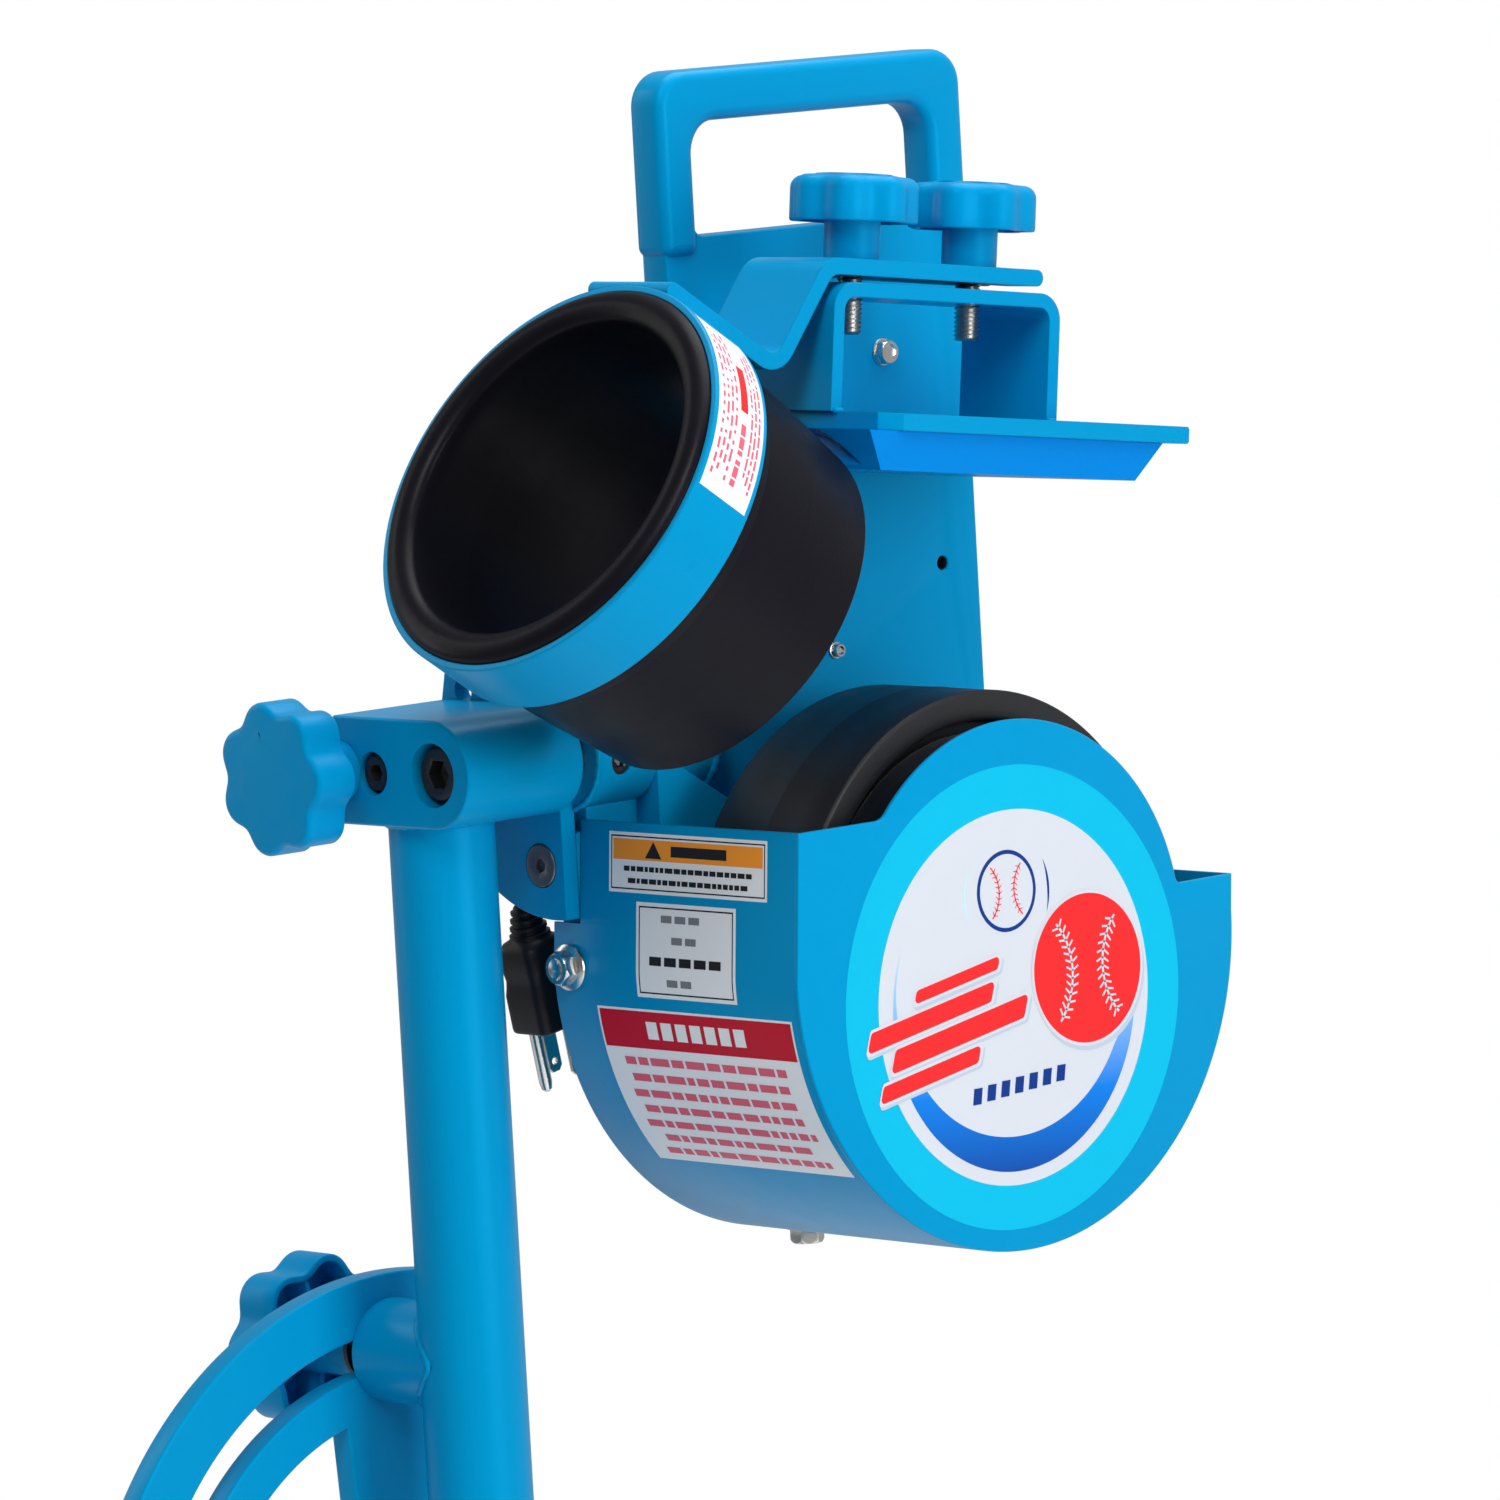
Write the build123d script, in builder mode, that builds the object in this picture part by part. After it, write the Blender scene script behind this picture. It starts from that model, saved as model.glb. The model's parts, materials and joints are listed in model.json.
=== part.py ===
# Ball throwing machine: a three-legged stand, a swivel and tilt joint, a leaning mast, and
# a rolling head with one driven wheel, a pressure pad above it and a ball chute.
# Millimetres and degrees. The ground is Z = 0, the swivel axis is vertical at X = AXIS_X,
# and the mast axis lies in the plane Y = 0. The wheel guard faces -Y, the motor +Y, and the
# chute opens at the -X end.
from build123d import *
import math
import os

os.makedirs("parts", exist_ok=True)

# ---------------------------------------------------------------- driving sizes
PIVOT_Z = 650.0        # tilt pivot height above the ground
AXIS_X = 101.38        # swivel axis
TILT = 4.3             # rest lean of the mast, top towards -X
PAD_DROP = 7.0         # the pressure pad closes towards the exit by this much
CHUTE_DROP = 33.8      # slope of the ball chute against the head
MAST_Y = 143.4         # mast axis, measured in the tilting frames
MAST_R, MAST_WALL = 19.05, 3.0
WHEEL_X, WHEEL_Z = 145.0, 257.0       # wheel axis in the mast frame
ROLL_Y, ROLL_Z = 119.4, 76.0          # roll axis in the head frame
ROLL = (ROLL_Y, ROLL_Z)
PLATE_Y0, PLATE_T = 113.0, 12.7       # backplate front face and thickness
PLATE_Y1 = PLATE_Y0 + PLATE_T
GUARD_R, SHEET, GUARD_DEPTH = 109.1, 2.0, 128.0
TYRE_R, TYRE_Y0, TYRE_Y1 = 91.5, 17.5, 74.3
SHAFT_R = 7.5
BALL_Y = 46.0          # plane of the ball path, wheel and chute
SLOT_R, SLOT_W = 117.9, 13.4          # tilt slot: centreline radius and width
QUAD_Y0, QUAD_T = 188.0, 10.0         # tilt quadrant front face and thickness
QUAD_Y1 = QUAD_Y0 + QUAD_T
STUD_R = 4.76          # 3/8 in studs
FIT = 0.05             # radial running clearance
STUD_HOLE_R = STUD_R + FIT
BAND_R, BAND_W = 76.2, 27.5           # chute band


# ---------------------------------------------------------------- frames
class Frame:
    """A flat frame turned about Y. front() faces -Y, side() faces +X, top() faces +Z."""

    def __init__(self, origin, angle, y0=0.0):
        turn = math.radians(angle)
        self.origin, self.angle, self.y0 = origin, angle, y0
        self.x_axis = (math.cos(turn), 0, math.sin(turn))
        self.z_axis = (-math.sin(turn), 0, math.cos(turn))

    def point(self, x, y, z):
        return (
            self.origin[0] + x * self.x_axis[0] + z * self.z_axis[0],
            y + self.y0,
            self.origin[1] + x * self.x_axis[2] + z * self.z_axis[2],
        )

    def child(self, x, z, turn):
        place = self.point(x, 0, z)
        return Frame((place[0], place[2]), self.angle + turn, self.y0)

    def front(self, y, x=0.0, z=0.0):
        return Plane(origin=self.point(x, y, z), x_dir=self.x_axis, z_dir=(0, -1, 0))

    def back(self, y, x=0.0, z=0.0):
        """Faces +Y, so sketch x runs against the frame's x."""
        mirrored = tuple(-v for v in self.x_axis)
        return Plane(origin=self.point(x, y, z), x_dir=mirrored, z_dir=(0, 1, 0))

    def side(self, x, y=0.0, z=0.0):
        return Plane(origin=self.point(x, y, z), x_dir=(0, 1, 0), z_dir=self.x_axis)

    def top(self, z, x=0.0, y=0.0):
        return Plane(origin=self.point(x, y, z), x_dir=self.x_axis, z_dir=self.z_axis)

    def aim(self, x, y, z, direction):
        """Plane facing a direction given in frame axes."""
        dx, dy, dz = direction
        normal = (
            dx * self.x_axis[0] + dz * self.z_axis[0],
            dy,
            dx * self.x_axis[2] + dz * self.z_axis[2],
        )
        return Plane(origin=self.point(x, y, z), z_dir=normal)


GROUND = Plane(origin=(AXIS_X, 0, 0))
STAND = Frame((AXIS_X, PIVOT_Z), 0.0, -MAST_Y)    # upright frame at the pivot
MAST = Frame((AXIS_X, PIVOT_Z), TILT, -MAST_Y)    # leans with the mast
HEAD = MAST.child(WHEEL_X, WHEEL_Z, 0.0)          # origin on the wheel axis
PAD = HEAD.child(0.0, 189.8, -PAD_DROP)           # top face of the pad plate
CHUTE = HEAD.child(-172.3, 184.3, -CHUTE_DROP)    # mouth of the chute, +X along the bore


def roll_plane(x):
    """Plane centred on the roll axis, facing +X."""
    return HEAD.side(x, ROLL_Y, ROLL_Z)


def guard_bolt_planes(left, bottom, right, sign):
    """Planes at the three guard bolts; sign 1 faces out of the guard, -1 into it."""
    return (
        HEAD.aim(-left, ROLL_Y, 0.0, (-sign, 0, 0)),
        HEAD.aim(0.0, ROLL_Y, -bottom, (0, 0, -sign)),
        HEAD.aim(right, ROLL_Y, 0.0, (sign, 0, 0)),
    )


# ---------------------------------------------------------------- shared shapes
# disc, drill and hexagon work on the BuildPart that is open where they are called. They hand
# their sketch to extrude, as a sketch made in a function does not join the caller's part.
# A negative length runs behind the plane.
def disc(plane, radius, length, bore=0.0, socket=0.0):
    """Add a round bar, with an optional round bore or hexagon socket."""
    with BuildSketch(plane) as section:
        Circle(radius)
        if bore:
            Circle(bore, mode=Mode.SUBTRACT)
        if socket:
            RegularPolygon(socket, 6, mode=Mode.SUBTRACT, major_radius=False)
    extrude(section.sketch, amount=length)


def drill(plane, radius, length, *places):
    """Cut round holes at the places given, or one at the plane's origin."""
    with BuildSketch(plane) as section:
        with Locations(*(places or ((0, 0),))):
            Circle(radius)
    extrude(section.sketch, amount=length, mode=Mode.SUBTRACT)


def hexagon(plane, flat_radius, length, bore=0.0):
    """Add a hexagonal bar; flat_radius is half the size across flats."""
    with BuildSketch(plane) as section:
        RegularPolygon(flat_radius, 6, major_radius=False)
        if bore:
            Circle(bore, mode=Mode.SUBTRACT)
    extrude(section.sketch, amount=length)


def save(builder, name):
    builder.part.label = name
    export_step(builder.part, f"parts/{name}.step")


def polar(radius, degrees, centre=(0.0, 0.0)):
    angle = math.radians(degrees)
    return (centre[0] + radius * math.cos(angle), centre[1] + radius * math.sin(angle))


def arc_points(radius, start, end):
    """Start, middle and end of an arc about the origin."""
    return [polar(radius, angle) for angle in (start, (start + end) / 2, end)]


def lobed(mean_radius, swing, lobes, count=84):
    """Points round a circle whose radius waves in and out."""
    points = []
    for i in range(count):
        angle = 2 * math.pi * i / count
        radius = mean_radius + swing * math.cos(lobes * angle)
        points.append((radius * math.cos(angle), radius * math.sin(angle)))
    return points


KNOB_LOBES, KNOB_BORE_DEPTH = 7, 24.0
KNOB_SKIN, KNOB_TOP, KNOB_RIB = 2.8, 5.0, 2.0     # wall, top and rib thicknesses


def knob(plane, mean_radius, swing, head, stem_r, stem_l, stud_below=0.0):
    """Hollow lobed clamp knob. The plane sits at the foot of the stem, facing outwards.
    With stud_below the threaded stud is moulded in and reaches that far below the plane."""
    with BuildPart() as body:
        with BuildSketch(plane.offset(stem_l)):
            with BuildLine():
                Spline(*lobed(mean_radius, swing, KNOB_LOBES), periodic=True)
            make_face()
        extrude(amount=head)
        rim = body.edges().filter_by(
            lambda e: abs(plane.to_local_coords(e.center()).Z - stem_l - head) < 0.5
        )
        fillet(rim, 3.6)
        # hollow underside, leaving the stem core and one rib towards each valley
        with BuildSketch(plane.offset(stem_l)):
            with BuildLine():
                Spline(*lobed(mean_radius - KNOB_SKIN, swing * 0.95, KNOB_LOBES), periodic=True)
            make_face()
            Circle(stem_r, mode=Mode.SUBTRACT)
            with PolarLocations(0, KNOB_LOBES, start_angle=180.0 / KNOB_LOBES):
                with Locations((mean_radius / 2, 0)):
                    Rectangle(mean_radius * 1.2, KNOB_RIB, mode=Mode.SUBTRACT)
        extrude(amount=head - KNOB_TOP, mode=Mode.SUBTRACT)
        disc(plane, stem_r, stem_l + 1.0)
        if stud_below:
            disc(plane.offset(-stud_below), STUD_R, stud_below + 4.0)
        else:
            drill(plane, STUD_HOLE_R, KNOB_BORE_DEPTH)
    return body


def socket_screw(plane, head_r, socket, socket_depth, floor, shank_r, shank_l):
    """Socket head screw. The plane is the outer face of the head, facing down the shank;
    floor is the solid part of the head under the socket."""
    with BuildPart() as screw:
        disc(plane, head_r, socket_depth, socket=socket)
        disc(plane.offset(socket_depth), head_r, floor)
        disc(plane.offset(socket_depth + floor), shank_r, shank_l)
    return screw


# ================================================================ stand
HUB_TOP, HUB_LEN, HUB_R = PIVOT_Z - 77.0, 118.0, 30.0
HUB_FOOT = HUB_TOP - HUB_LEN
BUSH_R, SPINDLE_R = 19.0, 15.0
LEG_R, LEG_BORE, FOOT_R = 12.7, 10.9, 15.6
LEG_ANGLES = (-60.0, 60.0, 180.0)
LEG_TOP = (32.0, HUB_TOP - 70.0)      # radius and height where a leg axis leaves the hub
LEG_BOTTOM = (415.0, 8.0)             # radius and height where it ends
leg_run, leg_rise = LEG_BOTTOM[0] - LEG_TOP[0], LEG_BOTTOM[1] - LEG_TOP[1]
LEG_LEN = math.hypot(leg_run, leg_rise)
LEG_OUT, LEG_UP = leg_run / LEG_LEN, leg_rise / LEG_LEN
TUBE_GAP = 14.0                       # the tube stops this far short of the axis end


def leg_plane(angle, along):
    """Plane square to a leg axis, at a distance down the leg from LEG_TOP."""
    out_x, out_y = polar(1.0, angle)
    radius = LEG_TOP[0] + LEG_OUT * along
    return Plane(
        origin=(AXIS_X + radius * out_x, radius * out_y, LEG_TOP[1] + LEG_UP * along),
        x_dir=(-out_y, out_x, 0),
        z_dir=(LEG_OUT * out_x, LEG_OUT * out_y, LEG_UP),
    )


# the pan lock screws radially into the hub wall
pan_x, pan_y = polar(1.0, -120.0)
PAN = Plane(
    origin=(AXIS_X + HUB_R * pan_x, HUB_R * pan_y, HUB_TOP - 26.0),
    z_dir=(pan_x, pan_y, 0),
)
PAN_BOSS = 6.0                        # height of the boss above the hub wall

with BuildPart() as stand_hub:
    disc(GROUND.offset(HUB_FOOT), HUB_R, HUB_LEN)
    for angle in LEG_ANGLES:
        disc(leg_plane(angle, -8.0), 17.5, 70.0)
    disc(PAN.offset(-8.0), 12.0, 8.0 + PAN_BOSS)
    fillet(stand_hub.edges().filter_by(GeomType.CIRCLE).group_by(Axis.Z)[-1], 2.0)
    drill(GROUND.offset(HUB_FOOT), BUSH_R, HUB_LEN)
    for angle in LEG_ANGLES:
        drill(leg_plane(angle, -2.0), LEG_R, 80.0)
    drill(PAN.offset(-14.0), STUD_HOLE_R, 24.0)
save(stand_hub, "stand_hub")

# flanged sleeve lining the hub
with BuildPart() as hub_bushing:
    disc(GROUND.offset(HUB_FOOT), BUSH_R, HUB_LEN, bore=SPINDLE_R + FIT)
    disc(GROUND.offset(HUB_TOP), 27.0, 1.9, bore=SPINDLE_R + FIT)
    drill(PAN.offset(-18.0), STUD_R + 0.3, 24.0)
save(hub_bushing, "hub_bushing")

with BuildPart() as leg_tubes:
    for angle in LEG_ANGLES:
        disc(leg_plane(angle, 0.0), LEG_R, LEG_LEN - TUBE_GAP, bore=LEG_BORE)
save(leg_tubes, "leg_tubes")

# sleeves with a solid end and a wider tip, cut flat at the ground
with BuildPart() as leg_feet:
    for angle in LEG_ANGLES:
        disc(leg_plane(angle, LEG_LEN - TUBE_GAP - 38.0), FOOT_R, 38.0, bore=LEG_R)
        disc(leg_plane(angle, LEG_LEN - TUBE_GAP), FOOT_R, 10.0)
        disc(leg_plane(angle, LEG_LEN - 12.0), 19.0, 36.0)
    drill(GROUND.offset(-60.0), 700.0, 60.0)
save(leg_feet, "leg_feet")

pan_knob = knob(PAN.offset(PAN_BOSS + 0.05), 25.5, 3.0, 16.0, 10.8, 14.0, stud_below=20.8)
save(pan_knob, "pan_lock_knob")

# ---------------------------------------------------------------- swivel head
YOKE_Z0, YOKE_Z1 = -75.0, -36.0       # base block, from the pivot
CHEEK_Y0, CHEEK_T = 112.0, 10.0       # upright cheek in front of the mast
PIVOT_HOLE_R, PIVOT_BOLT_R = 6.35, 6.3
QUAD_BOLT_X, QUAD_BOLT_Z, QUAD_BOLT_R = 19.0, -56.0, 4.0
QUAD_BOLTS = ((-QUAD_BOLT_X, QUAD_BOLT_Z), (QUAD_BOLT_X, QUAD_BOLT_Z))

with BuildPart() as swivel_spindle:
    disc(GROUND.offset(HUB_FOOT - 12.0), SPINDLE_R, HUB_LEN + 38.0)
    round_edges = swivel_spindle.edges().filter_by(GeomType.CIRCLE)
    fillet(round_edges.sort_by(Axis.Z)[0], 1.5)
save(swivel_spindle, "swivel_spindle")

with BuildPart() as swivel_yoke:
    with BuildSketch(STAND.top(YOKE_Z0)):
        with Locations((0, 149.9)):
            RectangleRounded(74.0, 76.0, 6.0)
    extrude(amount=YOKE_Z1 - YOKE_Z0)
    with BuildSketch(STAND.front(CHEEK_Y0)):
        with BuildLine():
            Polyline((-26, -50), (26, -50), (22, 0))
            ThreePointArc((22, 0), (0, 22), (-22, 0))
            Line((-22, 0), (-26, -50))
        make_face()
    extrude(amount=-CHEEK_T)
    drill(STAND.front(CHEEK_Y0 - 1.0), PIVOT_HOLE_R, -14.0)
    drill(STAND.back(QUAD_Y0 + 0.2), QUAD_BOLT_R, -22.0, *QUAD_BOLTS)
    drill(GROUND.offset(PIVOT_Z + YOKE_Z0), SPINDLE_R, 24.0)
save(swivel_yoke, "swivel_yoke")

# quadrant plate behind the mast, with a window and the curved tilt slot
QUAD_OUT, QUAD_IN = 146.0, 95.0       # outer radius and window radius
QUAD_FROM, QUAD_TO = 70.0, 176.0      # outer arc
WINDOW_FROM, WINDOW_TO = 108.0, 172.0
WINDOW_X = -25.0
SLOT_FROM, SLOT_TO = 79.0, 168.0
SLOT_IN, SLOT_OUT = SLOT_R - SLOT_W / 2, SLOT_R + SLOT_W / 2
with BuildPart() as tilt_quadrant:
    with BuildSketch(STAND.front(QUAD_Y0)):
        with BuildLine():
            ThreePointArc(*arc_points(QUAD_OUT, QUAD_FROM, QUAD_TO))
            Polyline(
                polar(QUAD_OUT, QUAD_TO), (-QUAD_OUT, -22.0), (-122.0, -22.0), (-37.0, -72.0),
                (37.0, -72.0), (30.0, 20.0), polar(QUAD_OUT, QUAD_FROM),
            )
        make_face()
        with BuildLine():
            ThreePointArc(*arc_points(QUAD_IN, WINDOW_FROM, WINDOW_TO))
            Polyline(
                polar(QUAD_IN, WINDOW_TO), (WINDOW_X, -12.0), (WINDOW_X, 60.0),
                polar(QUAD_IN, WINDOW_FROM),
            )
        make_face(mode=Mode.SUBTRACT)
        with BuildLine():
            ThreePointArc(*arc_points(SLOT_OUT, SLOT_FROM, SLOT_TO))
            ThreePointArc(*arc_points(SLOT_IN, SLOT_FROM, SLOT_TO))
            for slot_end, sign in ((SLOT_FROM, -1), (SLOT_TO, 1)):
                along_x, along_z = polar(1.0, slot_end)
                tip = (
                    SLOT_R * along_x - sign * SLOT_W / 2 * along_z,
                    SLOT_R * along_z + sign * SLOT_W / 2 * along_x,
                )
                ThreePointArc(polar(SLOT_IN, slot_end), tip, polar(SLOT_OUT, slot_end))
        make_face(mode=Mode.SUBTRACT)
    extrude(amount=-QUAD_T)
    window_corners = tilt_quadrant.edges().filter_by(Axis.Y).filter_by(
        lambda e: abs(e.center().X - AXIS_X - WINDOW_X) < 0.5 and e.center().Z > PIVOT_Z - 30
    )
    fillet(window_corners, 6.0)
    with BuildSketch(STAND.front(QUAD_Y0)):
        Circle(PIVOT_HOLE_R)
        with Locations(*QUAD_BOLTS):
            Circle(QUAD_BOLT_R)
    extrude(amount=-QUAD_T, mode=Mode.SUBTRACT)
    chamfer(tilt_quadrant.faces().sort_by(Axis.Y)[0].edges(), 0.6)
save(tilt_quadrant, "tilt_quadrant")

with BuildPart() as quadrant_bolts:
    for x, z in QUAD_BOLTS:
        hexagon(STAND.back(QUAD_Y1, -x, z), 6.5, 5.5)
        disc(STAND.back(QUAD_Y1 - 28.0, -x, z), QUAD_BOLT_R, 28.0)
save(quadrant_bolts, "quadrant_bolts")

with BuildPart() as pivot_bolt:
    hexagon(STAND.front(CHEEK_Y0), 9.5, 8.0)
    disc(STAND.front(CHEEK_Y0), PIVOT_BOLT_R, -(QUAD_Y1 + 15.0 - CHEEK_Y0))
save(pivot_bolt, "pivot_bolt")

# washer and nut in one piece
with BuildPart() as pivot_nut:
    disc(STAND.back(QUAD_Y1), 12.5, 2.0, bore=PIVOT_BOLT_R)
    hexagon(STAND.back(QUAD_Y1 + 2.0), 9.5, 10.0, bore=PIVOT_BOLT_R)
save(pivot_nut, "pivot_nut")

# ================================================================ mast
HOUSING_R = 19.5
BLOCK_Z0, BLOCK_Z1 = ROLL_Z - HOUSING_R, ROLL_Z + HOUSING_R
MAST_FOOT, MAST_TOP = -24.0, WHEEL_Z + BLOCK_Z0 - 0.02
SLEEVE_R = 10.0
with BuildPart() as mast_tube:
    mast_foot = MAST.top(MAST_FOOT, 0.0, MAST_Y)
    disc(mast_foot, MAST_R, MAST_TOP - MAST_FOOT, bore=MAST_R - MAST_WALL)
    drill(MAST.front(100.0), SLEEVE_R, -90.0)
    drill(MAST.front(150.0, 0.0, SLOT_R), 8.0, -20.0)
save(mast_tube, "mast_tube")

# sleeve through the mast, with a collar between the mast and the quadrant
SLEEVE_Y0, SLEEVE_Y1 = CHEEK_Y0 + CHEEK_T + 0.15, QUAD_Y0 - 0.15
COLLAR_R, COLLAR_Y0 = 18.0, MAST_Y + MAST_R + 0.02
with BuildPart() as pivot_sleeve:
    disc(MAST.front(SLEEVE_Y0), SLEEVE_R, -(SLEEVE_Y1 - SLEEVE_Y0))
    disc(MAST.front(COLLAR_Y0), COLLAR_R, -(SLEEVE_Y1 - COLLAR_Y0))
    collar_rims = pivot_sleeve.edges().filter_by(GeomType.CIRCLE).filter_by(
        lambda e: e.radius > COLLAR_R - 0.1
    )
    fillet(collar_rims.sort_by(Axis.Y)[0], 1.5)
    drill(MAST.front(120.0), PIVOT_HOLE_R, -80.0)
save(pivot_sleeve, "pivot_sleeve")

# saddle between the mast and the slot, for the tilt lock stud
with BuildPart() as tilt_boss:
    disc(MAST.front(MAST_Y, 0.0, SLOT_R), 19.04, -(QUAD_Y0 - 0.1 - MAST_Y))
    drill(MAST.top(SLOT_R - 40.0, 0.0, MAST_Y), MAST_R, 80.0)
    drill(MAST.front(MAST_Y, 0.0, SLOT_R), STUD_HOLE_R, -60.0)
save(tilt_boss, "tilt_boss")

# ---------------------------------------------------------------- roll housing on the mast top
HOUSING_X0, HOUSING_X1 = -168.8, -114.4
LOCK_Y = 168.7                        # roll lock stud
HOUSING_BACK_Y = 178.0
CLAMP_SCREW = (151.5, 75.4)           # y, z
SPINDLE_SCREW_R, ROLL_BUSH_R = 5.0, 15.0
with BuildPart() as roll_housing:
    with BuildSketch(HEAD.side(HOUSING_X0)):
        with Locations(ROLL):
            Circle(HOUSING_R)
        with BuildLine():
            Polyline(
                (ROLL_Y, BLOCK_Z0), (HOUSING_BACK_Y, BLOCK_Z0), (HOUSING_BACK_Y, BLOCK_Z1 - 7.0),
                (HOUSING_BACK_Y - 6.0, BLOCK_Z1), (ROLL_Y, BLOCK_Z1), close=True,
            )
        make_face()
    extrude(amount=HOUSING_X1 - HOUSING_X0)
    end_faces = roll_housing.faces().sort_by(SortBy.AREA).filter_by(
        lambda f: abs(f.normal_at().X) > 0.9
    )
    chamfer(end_faces.sort_by(Axis.X)[0].edges(), 0.7)
    drill(roll_plane(HOUSING_X0 - 1.0), 11.5, 14.0)
    drill(roll_plane(HOUSING_X0), 5.08, HOUSING_X1 - HOUSING_X0)
    drill(roll_plane(HOUSING_X0 + 19.0), ROLL_BUSH_R, 60.0)
    drill(HEAD.side(HOUSING_X0 - 1.0, *CLAMP_SCREW), 7.75, 10.0)
    drill(HEAD.side(HOUSING_X0, *CLAMP_SCREW), 4.0, 22.0)
    drill(HEAD.side(HOUSING_X0 - 1.0, LOCK_Y, ROLL_Z), STUD_HOLE_R, 60.0)
save(roll_housing, "roll_housing")

clamp_screw = socket_screw(
    HEAD.side(HOUSING_X0 + 1.4, *CLAMP_SCREW), head_r=6.5, socket=3.0, socket_depth=5.0,
    floor=2.55, shank_r=4.0, shank_l=12.0,
)
save(clamp_screw, "housing_clamp_screw")

with BuildPart() as roll_bushings:
    for x in (HOUSING_X0 + 19.2, HOUSING_X1 - 16.0):
        disc(roll_plane(x), ROLL_BUSH_R, 15.9, bore=12.75)
save(roll_bushings, "roll_bushings")

# ================================================================ head: spindle, tube, sector
ROLL_SPINDLE_R = 12.7
ROLL_SPINDLE_X = HOUSING_X0 + 19.3
with BuildPart() as roll_spindle:
    disc(roll_plane(ROLL_SPINDLE_X), ROLL_SPINDLE_R, 46.0, bore=SPINDLE_SCREW_R)
    disc(roll_plane(ROLL_SPINDLE_X + 46.0), ROLL_SPINDLE_R, 44.0)
save(roll_spindle, "roll_spindle")

spindle_screw = socket_screw(
    roll_plane(HOUSING_X0 + 2.5), head_r=9.6, socket=5.0, socket_depth=6.5,
    floor=3.95, shank_r=SPINDLE_SCREW_R, shank_l=45.0,
)
save(spindle_screw, "spindle_screw")

SECTOR_X0, SECTOR_X1 = -113.9, -107.25
SECTOR_T = SECTOR_X1 - SECTOR_X0
HEAD_TUBE_R = 19.5
SET_SCREW_X, SET_SCREW_Z = -95.3, 74.0
with BuildPart() as head_tube:
    disc(roll_plane(SECTOR_X1), HEAD_TUBE_R, -49.1 - SECTOR_X1, bore=ROLL_SPINDLE_R)
    drill(HEAD.front(96.0, SET_SCREW_X, SET_SCREW_Z), 5.2, -9.0)
save(head_tube, "head_tube")

with BuildPart() as tube_set_screw:
    disc(HEAD.front(101.6, SET_SCREW_X, SET_SCREW_Z), 5.0, -3.3, socket=2.5)
save(tube_set_screw, "tube_set_screw")

# sector plate on the end of the head tube, with three index holes round the roll axis
SECTOR_R = 58.5
SECTOR_START, SECTOR_END = 31.0, -95.0
SECTOR_SCREW, SECTOR_SCREW_R = (126.2, 37.0), 3.2      # y, z and shank radius
with BuildPart() as index_sector:
    with BuildSketch(HEAD.side(SECTOR_X0)):
        with BuildLine():
            nose = polar(61.5, SECTOR_START, ROLL)
            arc_start = polar(SECTOR_R, SECTOR_START - math.degrees(0.27), ROLL)
            arc_end = polar(SECTOR_R, SECTOR_END, ROLL)
            Line(nose, arc_start)
            ThreePointArc(arc_start, polar(SECTOR_R, -40.0, ROLL), arc_end)
            Polyline(arc_end, (ROLL_Y - 5.2, ROLL_Z + 19.0), (ROLL_Y + 14.0, ROLL_Z + 24.0), nose)
        make_face()
        with Locations(ROLL):
            Circle(ROLL_SPINDLE_R, mode=Mode.SUBTRACT)
            with PolarLocations(49.3, 3, start_angle=27.6, angular_range=-82.8, endpoint=False):
                Circle(4.5, mode=Mode.SUBTRACT)
    extrude(amount=SECTOR_T)
    drill(HEAD.side(SECTOR_X0, *SECTOR_SCREW), SECTOR_SCREW_R, SECTOR_T)
    drill(HEAD.side(SECTOR_X0, *SECTOR_SCREW), 8.1, 2.6)
save(index_sector, "index_sector")

sector_screw = socket_screw(
    HEAD.side(SECTOR_X0 - 0.6, *SECTOR_SCREW), head_r=7.8, socket=2.4, socket_depth=2.4,
    floor=0.8, shank_r=SECTOR_SCREW_R, shank_l=18.0,
)
save(sector_screw, "sector_screw")

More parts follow.
